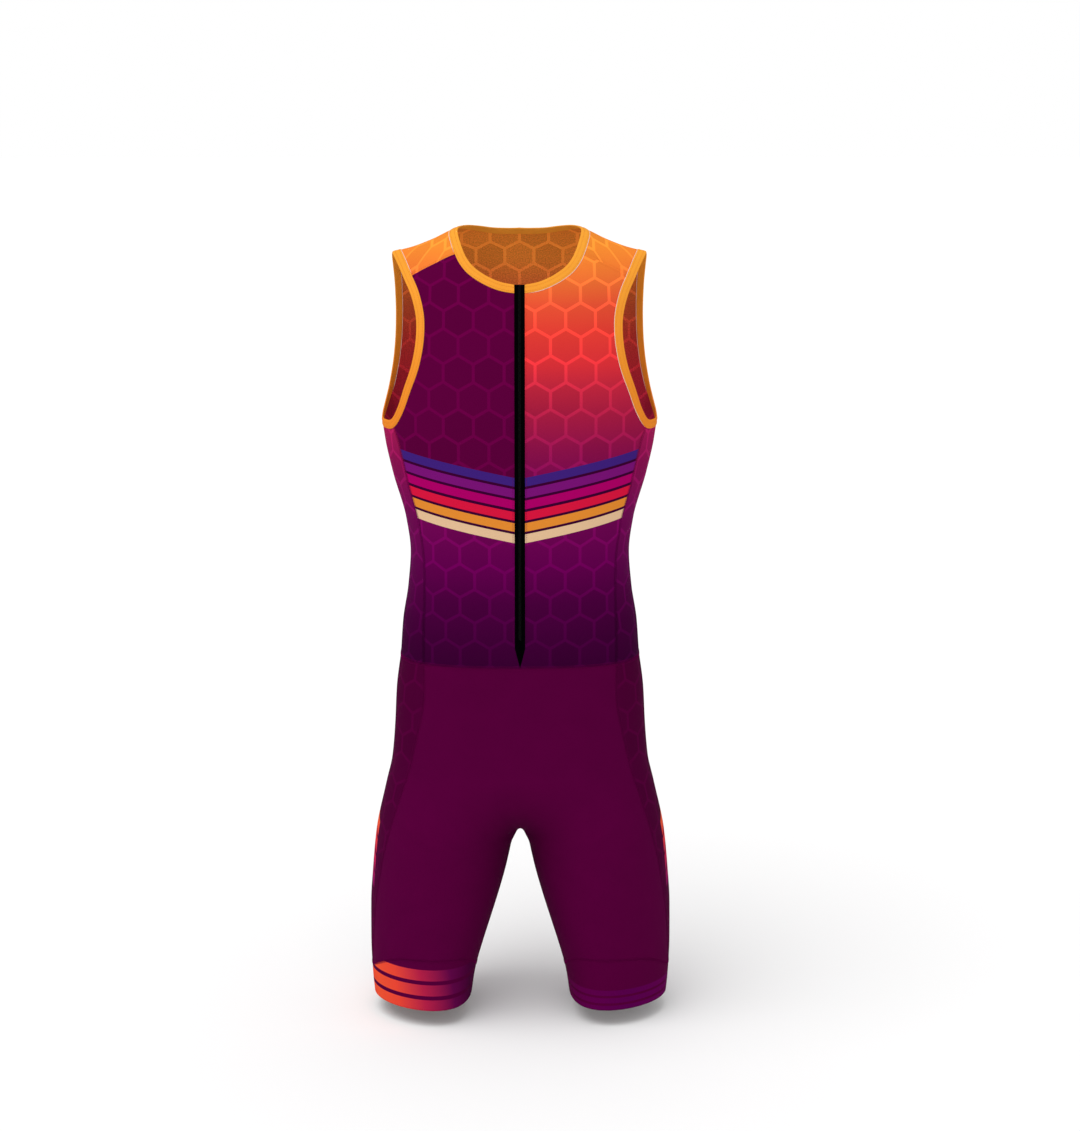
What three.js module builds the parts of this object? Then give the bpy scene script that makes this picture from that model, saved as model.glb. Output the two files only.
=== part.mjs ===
// A sleeveless one-piece triathlon suit in the shape that it has on a wearer
// Millimetres, +Z up, front towards -Y, origin midway between the two high shoulder points at the neck
import * as THREE from "three";

// Driving sizes
const ARM_LEVEL = -212;
const WAIST = -490;
const CROTCH = -706;
const HEM = -905;
const PANEL_WALL = 1.5;
const BAND_WALL = 2.4;
const BAND_RISE = 0.45;
const BAND_WIDTH = 10;
const ZIP_HALF = 5.8;
const ZIP_POINT = -467;
const ZIP_WALL = 1.8;
const SEAM_GAP = 0.3;
const FRONT_ROUNDNESS = 2.7;
const BACK_ROUNDNESS = 2.5;
const FRONT_SHOULDER_ROUNDNESS = 2.0;
const BACK_SHOULDER_ROUNDNESS = 3.0;
const CROTCH_RADIUS = 20;
const CROTCH_ARCH = 7.1;
const RISE = 80;

// Torso sections: height, half width, depth to the front, depth to the back
const TORSO = [
  [-490, 138.5, 92, 100],
  [-450, 135.5, 92.5, 93],
  [-410, 129.2, 95, 86],
  [-368, 126, 99, 82],
  [-330, 130.5, 104, 88],
  [-275, 145.5, 110, 98],
  [-235, 154, 112, 103.5],
  [-212, 156.5, 112, 104],
];

// Shoulder ridge: distance from the middle, height
const RIDGE = [
  [0, 11],
  [40, 7.5],
  [66, 0.5],
  [76, -3],
  [98, -13.5],
  [122, -22.5],
  [144, -28],
  [160, -34],
];

// Hip and leg sections: height, outer half width, depth to the front, depth to the back, lean of the thigh
const LEGS = [
  [-490, 138.5, 92, 100, 0],
  [-530, 143.8, 91.5, 108, 0],
  [-575, 146.3, 91, 115, 0],
  [-615, 150, 91, 118, 0],
  [-650, 158, 92, 117, 0],
  [-706, 170, 92, 108, 2],
  [-751, 174.6, 90, 99, 5],
  [-796, 177.6, 87, 92, 9],
  [-841, 178, 83, 85, 12],
  [-886, 176.2, 79, 79, 15],
  [-905, 174.5, 78, 77, 16],
];

// Inner side of the leg: height, distance from the middle
const INSEAM = [
  [-706, 0],
  [-721, 10.1],
  [-736, 13.6],
  [-751, 17],
  [-781, 25.2],
  [-811, 34.4],
  [-841, 43.8],
  [-871, 52.3],
  [-886, 55.3],
  [-905, 58],
];

// Side seams of the shorts: height, share of the half leg from the inseam, in front and behind
const SHORTS_SEAM = [
  [-490, 0.678, 0.69],
  [-530, 0.655, 0.685],
  [-575, 0.692, 0.7],
  [-630, 0.743, 0.72],
  [-690, 0.79, 0.745],
  [-735, 0.831, 0.765],
  [-785, 0.87, 0.785],
  [-860, 0.925, 0.81],
];

// Neck edge from the zip to the shoulder seam, then on to the middle of the back
const NECK_EDGE = [
  [5.8, -81.5, -57],
  [21.5, -79.3, -54.2],
  [38, -74.4, -47.2],
  [51, -67.2, -38.5],
  [58.5, -59, -30],
  [62.8, -50.6, -21.9],
  [67.5, -34, -10],
  [69.5, -13, -2.5],
  [67, 9, 0],
  [60.5, 28, -1.5],
  [49, 44, -3.5],
  [33, 56, -4.6],
  [16, 62.5, -5],
  [0, 64.5, -5.2],
];
const NECK_SHOULDER = 5;

// Armhole edge from the foot of the front side seam up over the shoulder and down the back
const ARM_EDGE = [
  [143.5, -62.5, -209.5],
  [136.5, -72, -196.5],
  [128.5, -79, -172],
  [120, -82, -148],
  [115, -80, -124],
  [114.2, -75, -103],
  [116.5, -69.5, -88],
  [121, -58.5, -71],
  [128, -45, -56],
  [136.5, -27, -39.5],
  [142.5, -8, -29.5],
  [143.8, 10, -28.5],
  [143.5, 27, -40],
  [142.8, 40, -60],
  [142.6, 48, -85],
  [143, 51.5, -110],
  [144.8, 51.5, -137],
  [148.3, 47, -163],
  [152.8, 36, -188],
  [155, 20, -203],
  [156.5, 0, -209.5],
  [155, -21, -212],
  [151, -44, -212],
];
const ARM_SHOULDER = 8;
const ARM_BACK = 18;

// Middle points of the torso side seams, front and back
const SIDE_SEAM_FRONT = [
  [134.5, -70.5, -235],
  [120, -70, -301],
  [114, -69.5, -395],
];
const SIDE_SEAM_BACK = [
  [141, 56, -232],
  [127, 66, -301],
  [116, 70, -395],
];

// Grid counts
const NECK_FRONT = 5;
const NECK_BACK = 9;
const ZIP_ROWS = 15;
const SIDE_ROWS = 10;
const ARM_FRONT = 10;
const ARM_OVER = 14;
const ARM_UNDER = 6;
const BACK_ROWS = 15;
const ACROSS = 7;
const HIP_ROWS = [-490, -530, -570, -608, -640, -665, -683, -695, -702, -706];
const LEG_ROWS = [0, 0.02, 0.07, 0.16, 0.3, 0.46, 0.64, 0.82, 1];
const CUFF_ROWS = 2;
const SIDE_COLUMNS = 3;

// Small vector sums
const add = (a, b, k = 1) => [a[0] + b[0] * k, a[1] + b[1] * k, a[2] + b[2] * k];
const dot = (a, b) => a[0] * b[0] + a[1] * b[1] + a[2] * b[2];
const cross = (a, b) => [
  a[1] * b[2] - a[2] * b[1],
  a[2] * b[0] - a[0] * b[2],
  a[0] * b[1] - a[1] * b[0],
];
const unit = (a) => {
  const length = Math.hypot(...a) || 1;
  return [a[0] / length, a[1] / length, a[2] / length];
};
const mix = (a, b, t) => a.map((v, i) => v + (b[i] - v) * t);
const clamp = (v, low, high) => Math.min(Math.max(v, low), high);
const smooth = (t) => {
  const s = clamp(t, 0, 1);
  return s * s * (3 - 2 * s);
};

// A smooth curve through the rows of a table, without overshoot; flatEnd makes the last slope level
function tableCurve(rows, flatEnd = false) {
  const sorted = [...rows].sort((a, b) => a[0] - b[0]);
  const at = sorted.map((r) => r[0]);
  const values = sorted.map((r) => r.slice(1));
  const steps = at.slice(1).map((v, i) => v - at[i]);
  const slopes = steps.map((h, i) => values[i].map((v, k) => (values[i + 1][k] - v) / h));
  const tangents = values.map((row, i) =>
    row.map((_, k) => {
      if (i === 0) return slopes[0][k];
      if (i === values.length - 1) return flatEnd ? 0 : slopes[i - 1][k];
      const before = slopes[i - 1][k];
      const after = slopes[i][k];
      if (before * after <= 0) return 0;
      const w1 = 2 * steps[i] + steps[i - 1];
      const w2 = steps[i] + 2 * steps[i - 1];
      return (w1 + w2) / (w1 / before + w2 / after);
    }),
  );
  return (q) => {
    const v = clamp(q, at[0], at[at.length - 1]);
    let i = 0;
    while (i < at.length - 2 && v > at[i + 1]) i++;
    const h = steps[i];
    const t = (v - at[i]) / h;
    const a = 2 * t ** 3 - 3 * t ** 2 + 1;
    const b = (t ** 3 - 2 * t ** 2 + t) * h;
    const c = -2 * t ** 3 + 3 * t ** 2;
    const d = (t ** 3 - t ** 2) * h;
    return values[i].map(
      (p, k) => a * p + b * tangents[i][k] + c * values[i + 1][k] + d * tangents[i + 1][k],
    );
  };
}

const torsoAt = tableCurve(TORSO, true);
const ridgeAt = tableCurve(RIDGE);
const legsAt = tableCurve(LEGS);
const inseamAt = tableCurve(INSEAM);
const shortsSeamAt = tableCurve(SHORTS_SEAM);

// Whether a point lies inside the torso form: a rounded section that closes towards the shoulder ridge
function insideTorso(p) {
  const front = p[1] < 0;
  const [half, depthFront, depthBack] = torsoAt(Math.min(p[2], ARM_LEVEL));
  const depth = front ? depthFront : depthBack;
  const m = front ? FRONT_ROUNDNESS : BACK_ROUNDNESS;
  const n = front ? FRONT_SHOULDER_ROUNDNESS : BACK_SHOULDER_ROUNDNESS;
  const s = (p[2] - ARM_LEVEL) / (ridgeAt(Math.abs(p[0]))[0] - ARM_LEVEL);
  if (s >= 1) return false;
  const narrow = s <= 0 ? 1 : (1 - s ** n) ** (1 / n);
  return (Math.abs(p[0]) / half) ** m + (Math.abs(p[1]) / (depth * narrow)) ** m < 1;
}

// The torso form's depth at a place seen from the front, negative in front
function torsoDepth(x, z, side) {
  const [half, depthFront, depthBack] = torsoAt(Math.min(z, ARM_LEVEL));
  const m = side < 0 ? FRONT_ROUNDNESS : BACK_ROUNDNESS;
  const n = side < 0 ? FRONT_SHOULDER_ROUNDNESS : BACK_SHOULDER_ROUNDNESS;
  const s = Math.max((z - ARM_LEVEL) / (ridgeAt(Math.abs(x))[0] - ARM_LEVEL), 0);
  const across = (1 - (Math.abs(x) / half) ** m) ** (1 / m);
  return side * (side < 0 ? depthFront : depthBack) * across * (1 - s ** n) ** (1 / n);
}

// The point of the torso form on the ray from the axis through a guide point
function ontoTorso(p) {
  const from = [0, 0, Math.min(p[2], ARM_LEVEL)];
  const ray = add(p, from, -1);
  let low = 0;
  let high = 3;
  for (let i = 0; i < 44; i++) {
    const half = (low + high) / 2;
    if (insideTorso(add(from, ray, half))) low = half;
    else high = half;
  }
  return add(from, ray, low);
}

// A torso point with its outward normal
function torsoPoint(guide) {
  const p = ontoTorso(guide);
  const out = unit(add(p, [0, 0, Math.min(p[2], ARM_LEVEL)], -1));
  const across = unit(cross(Math.abs(out[2]) < 0.8 ? [0, 0, 1] : [0, 1, 0], out));
  const along = cross(out, across);
  const step = 0.8;
  const a = add(ontoTorso(add(p, across, step)), ontoTorso(add(p, across, -step)), -1);
  const b = add(ontoTorso(add(p, along, step)), ontoTorso(add(p, along, -step)), -1);
  const n = unit(cross(a, b));
  return { p, n: dot(n, out) < 0 ? n.map((v) => -v) : n };
}

// A point of one half of the hips and legs: share from the middle or inseam to the side, height, front or back
function shortsPlace(share, z, side) {
  const [outer, depthFront, depthBack, lean] = legsAt(z);
  const depth = side < 0 ? depthFront : depthBack;
  const below = CROTCH - z;
  const near = clamp(below / 14, 0, 1);
  const gapSquare = CROTCH_ARCH * below * (1 - near) + inseamAt(z)[0] ** 2 * near;
  const r = CROTCH_RADIUS;
  const inner =
    below < 0 ? r * Math.exp((CROTCH_ARCH * below) / (2 * r * r)) : Math.sqrt(r * r + gapSquare);
  const end = Math.hypot(outer, r);
  const start = Math.max(inner, r);
  const along = (1 - Math.cos(Math.PI * share)) / 2;
  const x = Math.sqrt(Math.max((start + along * (end - start)) ** 2 - r * r, 0));
  const g = clamp((Math.hypot(x, r) - inner) / (end - inner), 0, 1);
  const torsoShare = smooth((z - CROTCH) / RISE);
  const m = side < 0 ? FRONT_ROUNDNESS : BACK_ROUNDNESS;
  const section = (1 - clamp(x / outer, 0, 1) ** m) ** (1 / m);
  const height = Math.sqrt((1 - torsoShare) * 4 * g * (1 - g) + torsoShare * section ** 2);
  const inwards = lean * height ** 2 * (1 - torsoShare) * smooth(x / 30);
  return [x - inwards, side * depth * height, z];
}

// The same point with its outward normal
function shortsPoint(share, z, side) {
  const p = shortsPlace(share, z, side);
  if (share === 0 && Math.abs(z - CROTCH) < 0.5) return { p, n: [0, 0, -1] };
  const c = clamp(share, 0.006, 0.994);
  const h = clamp(z, HEM + 1, WAIST - 1);
  const a = add(shortsPlace(c + 0.006, h, side), shortsPlace(c - 0.006, h, side), -1);
  const b = add(shortsPlace(c, h + 1, side), shortsPlace(c, h - 1, side), -1);
  let n = cross(a, b);
  if (side > 0) n = n.map((v) => -v);
  if (share === 0 && z > CROTCH) n[0] = 0;
  if ((share === 0 && z < CROTCH) || share === 1) n[1] = 0;
  return { p, n: unit(n) };
}

// Points spaced evenly along a smooth curve through guide points, laid onto the torso
function torsoCurve(guides, count, closed = false) {
  const curve = new THREE.CatmullRomCurve3(
    guides.map((g) => new THREE.Vector3(...g)),
    closed,
    "centripetal",
  );
  curve.arcLengthDivisions = 400;
  return curve.getSpacedPoints(count).map((v) => torsoPoint([v.x, v.y, v.z]));
}

// The line one band width away from an edge, on the given side of its direction
function bandSeam(edge, side, closed) {
  return edge.map((v, i) => {
    const last = edge.length - 1;
    const before = edge[i === 0 ? (closed ? last - 1 : 0) : i - 1].p;
    const after = edge[i === last ? (closed ? 1 : last) : i + 1].p;
    const away = unit(cross(v.n, add(after, before, -1)));
    return torsoPoint(add(v.p, away, side * BAND_WIDTH));
  });
}

const mirrored = (v) => ({ p: [-v.p[0], v.p[1], v.p[2]], n: [-v.n[0], v.n[1], v.n[2]] });
const mirrorGrid = (grid) => grid.map((row) => row.map(mirrored));

// A grid between four edges, laid onto the torso: left and right run up, bottom and top run across
function torsoGrid(left, right, bottom, top) {
  const rows = left.length - 1;
  const columns = bottom.length - 1;
  return left.map((l, j) =>
    bottom.map((b, i) => {
      if (i === 0) return left[j];
      if (i === columns) return right[j];
      if (j === 0) return bottom[i];
      if (j === rows) return top[i];
      const u = i / columns;
      const v = j / rows;
      const sides = mix(l.p, right[j].p, u);
      const ends = mix(b.p, top[i].p, v);
      const corners = mix(
        mix(bottom[0].p, bottom[columns].p, u),
        mix(top[0].p, top[columns].p, u),
        v,
      );
      return torsoPoint(add(add(sides, ends), corners, -1));
    }),
  );
}

// A closed thin solid from grids of surface points: joined where they meet, drawn back at the seams
function sheetSolid(name, grids, colour, { wall = PANEL_WALL, rise = 0, profile = null } = {}) {
  const found = new Map();
  const points = [];
  const pick = (v, level) => {
    const key = v.p.map((c) => Math.round(c * 500)).join();
    if (!found.has(key)) {
      found.set(key, points.length);
      points.push({ p: v.p, n: [0, 0, 0], level });
    }
    const point = points[found.get(key)];
    point.n = add(point.n, v.n);
    return found.get(key);
  };
  const faces = [];
  for (const grid of grids) {
    const index = grid.map((row, j) => row.map((v) => pick(v, profile ? profile[j] : [rise, rise - wall])));
    for (let j = 0; j + 1 < index.length; j++) {
      for (let i = 0; i + 1 < index[j].length; i++) {
        const [a, b, c, d] = [index[j][i], index[j][i + 1], index[j + 1][i + 1], index[j + 1][i]];
        const across = Math.hypot(...add(points[a].p, points[c].p, -1));
        const other = Math.hypot(...add(points[b].p, points[d].p, -1));
        const pair = across <= other ? [[a, b, c], [a, c, d]] : [[a, b, d], [b, c, d]];
        for (const t of pair) if (new Set(t).size === 3) faces.push(t);
      }
    }
  }
  for (const point of points) point.n = unit(point.n);
  for (const t of faces) {
    const [a, b, c] = t.map((k) => points[k].p);
    const normal = cross(add(b, a, -1), add(c, a, -1));
    const outward = t.reduce((sum, k) => add(sum, points[k].n), [0, 0, 0]);
    if (dot(normal, outward) < 0) t.reverse();
  }
  const used = new Map();
  for (const t of faces) {
    for (let k = 0; k < 3; k++) used.set(t[k] + "_" + t[(k + 1) % 3], [t[k], t[(k + 1) % 3]]);
  }
  const rim = [...used.values()].filter(([a, b]) => !used.has(b + "_" + a));
  const pull = new Map();
  for (const [a, b] of rim) {
    const direction = add(points[b].p, points[a].p, -1);
    for (const k of [a, b]) {
      const inward = unit(cross(points[k].n, direction));
      pull.set(k, [...(pull.get(k) || []), inward]);
    }
  }
  const moved = points.map(({ p }, k) => {
    const sides = pull.get(k);
    if (!sides) return p;
    const middle = unit(sides.reduce((sum, s) => add(sum, s), [0, 0, 0]));
    return add(p, middle, SEAM_GAP / 2 / Math.max(dot(middle, sides[0]), 0.35));
  });
  const outer = points.map((v, k) => add(moved[k], v.n, v.level[0]));
  const inner = points.map((v, k) => add(moved[k], v.n, v.level[1]));
  const count = points.length;
  const triangles = [];
  for (const [a, b, c] of faces) triangles.push([a, b, c], [a + count, c + count, b + count]);
  for (const [a, b] of rim) triangles.push([b, a, a + count], [b, a + count, b + count]);
  const geometry = new THREE.BufferGeometry();
  geometry.setAttribute("position", new THREE.Float32BufferAttribute([...outer, ...inner].flat(), 3));
  geometry.setIndex(triangles.flat());
  geometry.computeVertexNormals();
  const material = new THREE.MeshStandardMaterial({ color: colour, roughness: 0.62, metalness: 0 });
  const mesh = new THREE.Mesh(geometry, material);
  mesh.name = name;
  return mesh;
}

const torsoSpot = (x, z, side) => torsoPoint([x, torsoDepth(x, z, side), z]);

// Neck and armhole lines
const neckFrontEdge = torsoCurve(NECK_EDGE.slice(0, NECK_SHOULDER + 1), NECK_FRONT);
const neckBackEdge = torsoCurve(NECK_EDGE.slice(NECK_SHOULDER), NECK_BACK);
const neckEdge = [...neckFrontEdge, ...neckBackEdge.slice(1)];
neckEdge[0] = torsoSpot(ZIP_HALF, NECK_EDGE[0][2], -1);
const neckSeam = bandSeam(neckEdge, -1, false);
neckSeam[0] = torsoSpot(ZIP_HALF, neckSeam[0].p[2], -1);
neckSeam[neckSeam.length - 1] = torsoSpot(0, neckSeam[neckSeam.length - 1].p[2], 1);
const armFrontEdge = torsoCurve(ARM_EDGE.slice(0, ARM_SHOULDER + 1), ARM_FRONT);
const armOverEdge = torsoCurve(ARM_EDGE.slice(ARM_SHOULDER, ARM_BACK + 1), ARM_OVER);
const armUnderEdge = torsoCurve([...ARM_EDGE.slice(ARM_BACK), ARM_EDGE[0]], ARM_UNDER);
const armEdge = [...armFrontEdge, ...armOverEdge.slice(1), ...armUnderEdge.slice(1)];
const armSeam = bandSeam(armEdge, 1, true);
const armFrontSeam = armSeam.slice(0, ARM_FRONT + 1);
const armOverSeam = armSeam.slice(ARM_FRONT, ARM_FRONT + ARM_OVER + 1);
const armUnderSeam = armSeam.slice(ARM_FRONT + ARM_OVER);

// Waist line, side seams and shoulder seam
const waistShare = (side) => shortsSeamAt(WAIST)[side < 0 ? 0 : 1];
const waistFront = [];
const waistBack = [];
for (let i = 0; i <= ACROSS; i++) {
  const f = shortsPlace((waistShare(-1) * i) / ACROSS, WAIST, -1);
  const b = shortsPlace((waistShare(1) * i) / ACROSS, WAIST, 1);
  waistFront.push(torsoPoint(f));
  waistBack.push(torsoPoint(b));
}
const waistSide = [];
for (let i = 0; i <= 2 * SIDE_COLUMNS; i++) {
  const side = i <= SIDE_COLUMNS ? -1 : 1;
  const t = Math.abs(i - SIDE_COLUMNS) / SIDE_COLUMNS;
  waistSide.push(torsoPoint(shortsPlace(1 - (1 - waistShare(side)) * t, WAIST, side)));
}
const frontCorner = waistFront[ACROSS].p;
const backCorner = waistBack[ACROSS].p;
const sideFront = torsoCurve(
  [frontCorner, ...[...SIDE_SEAM_FRONT].reverse(), armFrontSeam[0].p],
  SIDE_ROWS,
);
const sideBack = torsoCurve(
  [backCorner, ...[...SIDE_SEAM_BACK].reverse(), armUnderSeam[0].p],
  SIDE_ROWS,
);
sideFront[SIDE_ROWS] = armFrontSeam[0];
sideBack[SIDE_ROWS] = armUnderSeam[0];
const shoulderSeam = [];
for (let i = 0; i <= ACROSS; i++) {
  shoulderSeam.push(torsoPoint(mix(neckSeam[NECK_FRONT].p, armOverSeam[0].p, i / ACROSS)));
}
shoulderSeam[0] = neckSeam[NECK_FRONT];
shoulderSeam[ACROSS] = armOverSeam[0];

// Front edge at the zip, from its point up to the neck band
const zipTop = neckSeam[0].p[2];
const zipEdge = [waistFront[0]];
for (let i = 0; i < ZIP_ROWS; i++) {
  const z = ZIP_POINT + ((zipTop - ZIP_POINT) * i) / (ZIP_ROWS - 1);
  zipEdge.push(i === ZIP_ROWS - 1 ? neckSeam[0] : torsoSpot(ZIP_HALF, z, -1));
}

// Torso panels
const frontGrid = torsoGrid(
  [...zipEdge, ...neckSeam.slice(1, NECK_FRONT + 1)],
  [...sideFront, ...armFrontSeam.slice(1)],
  waistFront,
  shoulderSeam,
);
const backMiddle = [];
const backTop = neckSeam[neckSeam.length - 1].p[2];
for (let i = 0; i <= BACK_ROWS; i++) {
  backMiddle.push(torsoSpot(0, WAIST + ((backTop - WAIST) * i) / BACK_ROWS, 1));
}
backMiddle[0] = waistBack[0];
backMiddle[BACK_ROWS] = neckSeam[neckSeam.length - 1];
const backGrid = torsoGrid(
  [...backMiddle, ...neckSeam.slice(NECK_FRONT, -1).reverse()],
  [...sideBack, ...[...armOverSeam].reverse().slice(1)],
  waistBack,
  shoulderSeam,
);
const sideGrid = torsoGrid(sideFront, sideBack, waistSide, [...armUnderSeam].reverse());

// Zip tapes and bands
const tapeGrid = [...zipEdge, neckEdge[0]].map((v) => [torsoSpot(0, v.p[2], -1), v]);
tapeGrid[0] = [zipEdge[0], zipEdge[0]];
const middleLine = (a, b) => a.map((v, i) => torsoPoint(mix(v.p, b[i].p, 0.5)));
const bandProfile = [
  [0.2, 0.2 - BAND_WALL + 0.3],
  [BAND_RISE + 0.15, BAND_RISE - BAND_WALL],
  [BAND_RISE - 0.2, BAND_RISE - BAND_WALL + 0.3],
];
const neckBandMiddle = middleLine(neckSeam, neckEdge);
neckBandMiddle[0] = torsoSpot(ZIP_HALF, neckBandMiddle[0].p[2], -1);
const neckBandGrid = [neckSeam, neckBandMiddle, neckEdge];
const armBandGrid = [armSeam, middleLine(armSeam, armEdge), armEdge];

// Hips, legs and cuffs
const columnShare = (i) => (i / ACROSS) ** 1.2;
const cuffTop = (share) => HEM + 35 + 28 * (1 - Math.cos(Math.PI * share) ** 4);
const levels = [...HIP_ROWS, ...LEG_ROWS.slice(1)];
function shortsGrid(side, fromSeam) {
  return levels.map((level, j) => {
    const row = [];
    const columns = fromSeam ? SIDE_COLUMNS : ACROSS;
    for (let i = 0; i <= columns; i++) {
      let share = 0;
      let z = level;
      for (let turn = 0; turn < 6; turn++) {
        const seam = shortsSeamAt(z)[side < 0 ? 0 : 1];
        share = fromSeam ? seam + ((1 - seam) * i) / columns : seam * columnShare(i);
        if (j >= HIP_ROWS.length) z = CROTCH + (cuffTop(share) - CROTCH) * level;
      }
      row.push(shortsPoint(share, z, side));
    }
    return row;
  });
}
const shortsFront = shortsGrid(-1, false);
const shortsBack = shortsGrid(1, false);
const shortsSideFront = shortsGrid(-1, true);
const shortsSideBack = shortsGrid(1, true);
const lowest = levels.length - 1;
const cuffShares = (side) => {
  const z = (side < 0 ? shortsFront : shortsBack)[lowest][ACROSS].p[2];
  const seam = shortsSeamAt(z)[side < 0 ? 0 : 1];
  const shares = [];
  for (let i = 0; i <= ACROSS; i++) shares.push(seam * columnShare(i));
  for (let i = 1; i <= SIDE_COLUMNS; i++) shares.push(seam + ((1 - seam) * i) / SIDE_COLUMNS);
  return shares;
};
function cuffGrid(side) {
  const top = (side < 0 ? shortsFront : shortsBack)[lowest];
  const more = (side < 0 ? shortsSideFront : shortsSideBack)[lowest].slice(1);
  const line = [...top, ...more];
  const shares = cuffShares(side);
  const grid = [line];
  for (let j = 1; j <= CUFF_ROWS; j++) {
    grid.push(line.map((v, i) => shortsPoint(shares[i], v.p[2] + ((HEM - v.p[2]) * j) / CUFF_ROWS, side)));
  }
  return grid;
}
const cuffGrids = [cuffGrid(-1), cuffGrid(1)];

// The pieces
const COLOURS = {
  plum: 0x5a0040,
  fade: 0xc2304a,
  purple: 0x6a0a58,
  orange: 0xff8a35,
  band: 0xffa038,
  black: 0x050505,
};
const suit = new THREE.Group();
const piece = (...options) => suit.add(sheetSolid(...options));
piece("front_left", [frontGrid], COLOURS.fade);
piece("front_right", [mirrorGrid(frontGrid)], COLOURS.plum);
piece("back", [backGrid, mirrorGrid(backGrid)], COLOURS.orange);
piece("side_left", [sideGrid], COLOURS.purple);
piece("side_right", [mirrorGrid(sideGrid)], COLOURS.purple);
const zipWall = { wall: ZIP_WALL, rise: 0.2 };
piece("zip_tape_left", [tapeGrid], COLOURS.black, zipWall);
piece("zip_tape_right", [mirrorGrid(tapeGrid)], COLOURS.black, zipWall);
const bandWall = { wall: BAND_WALL, profile: bandProfile };
piece("neck_band", [neckBandGrid, mirrorGrid(neckBandGrid)], COLOURS.band, bandWall);
piece("armhole_band_left", [armBandGrid], COLOURS.band, bandWall);
piece("armhole_band_right", [mirrorGrid(armBandGrid)], COLOURS.band, bandWall);
piece("shorts_front", [shortsFront, mirrorGrid(shortsFront)], COLOURS.plum);
piece("shorts_back", [shortsBack, mirrorGrid(shortsBack)], COLOURS.plum);
piece("shorts_side_left", [shortsSideFront, shortsSideBack], COLOURS.purple);
piece("shorts_side_right", [mirrorGrid(shortsSideFront), mirrorGrid(shortsSideBack)], COLOURS.purple);
piece("cuff_left", cuffGrids, COLOURS.plum);
piece("cuff_right", cuffGrids.map(mirrorGrid), COLOURS.orange);

export default suit;
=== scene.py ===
import math

import bpy
import numpy as np
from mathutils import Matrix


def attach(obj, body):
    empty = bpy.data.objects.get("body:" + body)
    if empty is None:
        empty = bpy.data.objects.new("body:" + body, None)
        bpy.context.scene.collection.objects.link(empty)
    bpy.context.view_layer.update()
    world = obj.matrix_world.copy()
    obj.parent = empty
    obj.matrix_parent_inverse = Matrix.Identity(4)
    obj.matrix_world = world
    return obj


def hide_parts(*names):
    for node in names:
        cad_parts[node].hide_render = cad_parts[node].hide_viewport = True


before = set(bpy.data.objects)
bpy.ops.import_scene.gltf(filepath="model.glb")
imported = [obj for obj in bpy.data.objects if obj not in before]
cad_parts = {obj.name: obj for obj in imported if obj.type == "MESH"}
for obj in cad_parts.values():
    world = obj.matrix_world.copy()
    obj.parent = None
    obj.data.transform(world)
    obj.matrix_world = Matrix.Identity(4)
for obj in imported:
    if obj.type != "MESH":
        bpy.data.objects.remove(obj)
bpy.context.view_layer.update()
print("frame loaded")

# camera first: the photo's frame is 1080 x 1131 and its long side fills the sensor
view = {"place": (0, -2.8, 0.17), "down": 11.3, "right": 0.477, "sensor": 36, "lens": 78.4}


def linked(name, data):
    # a new object in the scene
    thing = bpy.data.objects.new(name, data)
    bpy.context.scene.collection.objects.link(thing)
    return thing


def dial(node, **values):
    # sets a node's inputs by name, a space in the name written as a low line
    for name, value in values.items():
        node.inputs[name.replace("_", " ")].default_value = value


eye = bpy.data.cameras.new("camera")
eye.sensor_fit = "AUTO"
eye.sensor_width = view["sensor"]
eye.lens = view["lens"]
camera = linked("camera", eye)
camera.location = view["place"]
camera.rotation_euler = (math.radians(90 - view["down"]), 0, -math.radians(view["right"]))
bpy.context.scene.camera = camera

mm = 0.001
# the suit's form in mm, as the solids have it
form = {
    "armLevel": -212, "waist": -490, "crotch": -706, "hem": -905,
    "frontRound": 2.7, "backRound": 2.5, "frontShoulder": 2.0, "backShoulder": 3.0,
    "crotchRadius": 20, "crotchArch": 7.1, "crotchRise": 80, "crotchBlend": 14, "leanFrom": 30,
    # height, half width, depth to the front, depth to the back
    "torso": [
        (-490, 138.5, 92, 100), (-450, 135.5, 92.5, 93), (-410, 129.2, 95, 86), (-368, 126, 99, 82),
        (-330, 130.5, 104, 88), (-275, 145.5, 110, 98), (-235, 154, 112, 103.5), (-212, 156.5, 112, 104),
    ],
    # distance from the middle, height of the shoulder ridge
    "ridge": [(0, 11), (40, 7.5), (66, 0.5), (76, -3), (98, -13.5), (122, -22.5), (144, -28), (160, -34)],
    # height, outer half width, depth to the front, depth to the back, lean of the thigh
    "legs": [
        (-490, 138.5, 92, 100, 0), (-530, 143.8, 91.5, 108, 0), (-575, 146.3, 91, 115, 0),
        (-615, 150, 91, 118, 0), (-650, 158, 92, 117, 0), (-706, 170, 92, 108, 2),
        (-751, 174.6, 90, 99, 5), (-796, 177.6, 87, 92, 9), (-841, 178, 83, 85, 12),
        (-886, 176.2, 79, 79, 15), (-905, 174.5, 78, 77, 16),
    ],
    # height, distance of the inseam from the middle
    "inseam": [
        (-706, 0), (-721, 10.1), (-736, 13.6), (-751, 17), (-781, 25.2), (-811, 34.4),
        (-841, 43.8), (-871, 52.3), (-886, 55.3), (-905, 58),
    ],
    # height, share of the half leg at the side seam in front, and behind
    "shortsSeam": [
        (-490, 0.678, 0.69), (-530, 0.655, 0.685), (-575, 0.692, 0.7), (-630, 0.743, 0.72),
        (-690, 0.79, 0.745), (-735, 0.831, 0.765), (-785, 0.87, 0.785), (-860, 0.925, 0.81),
    ],
}
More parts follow.
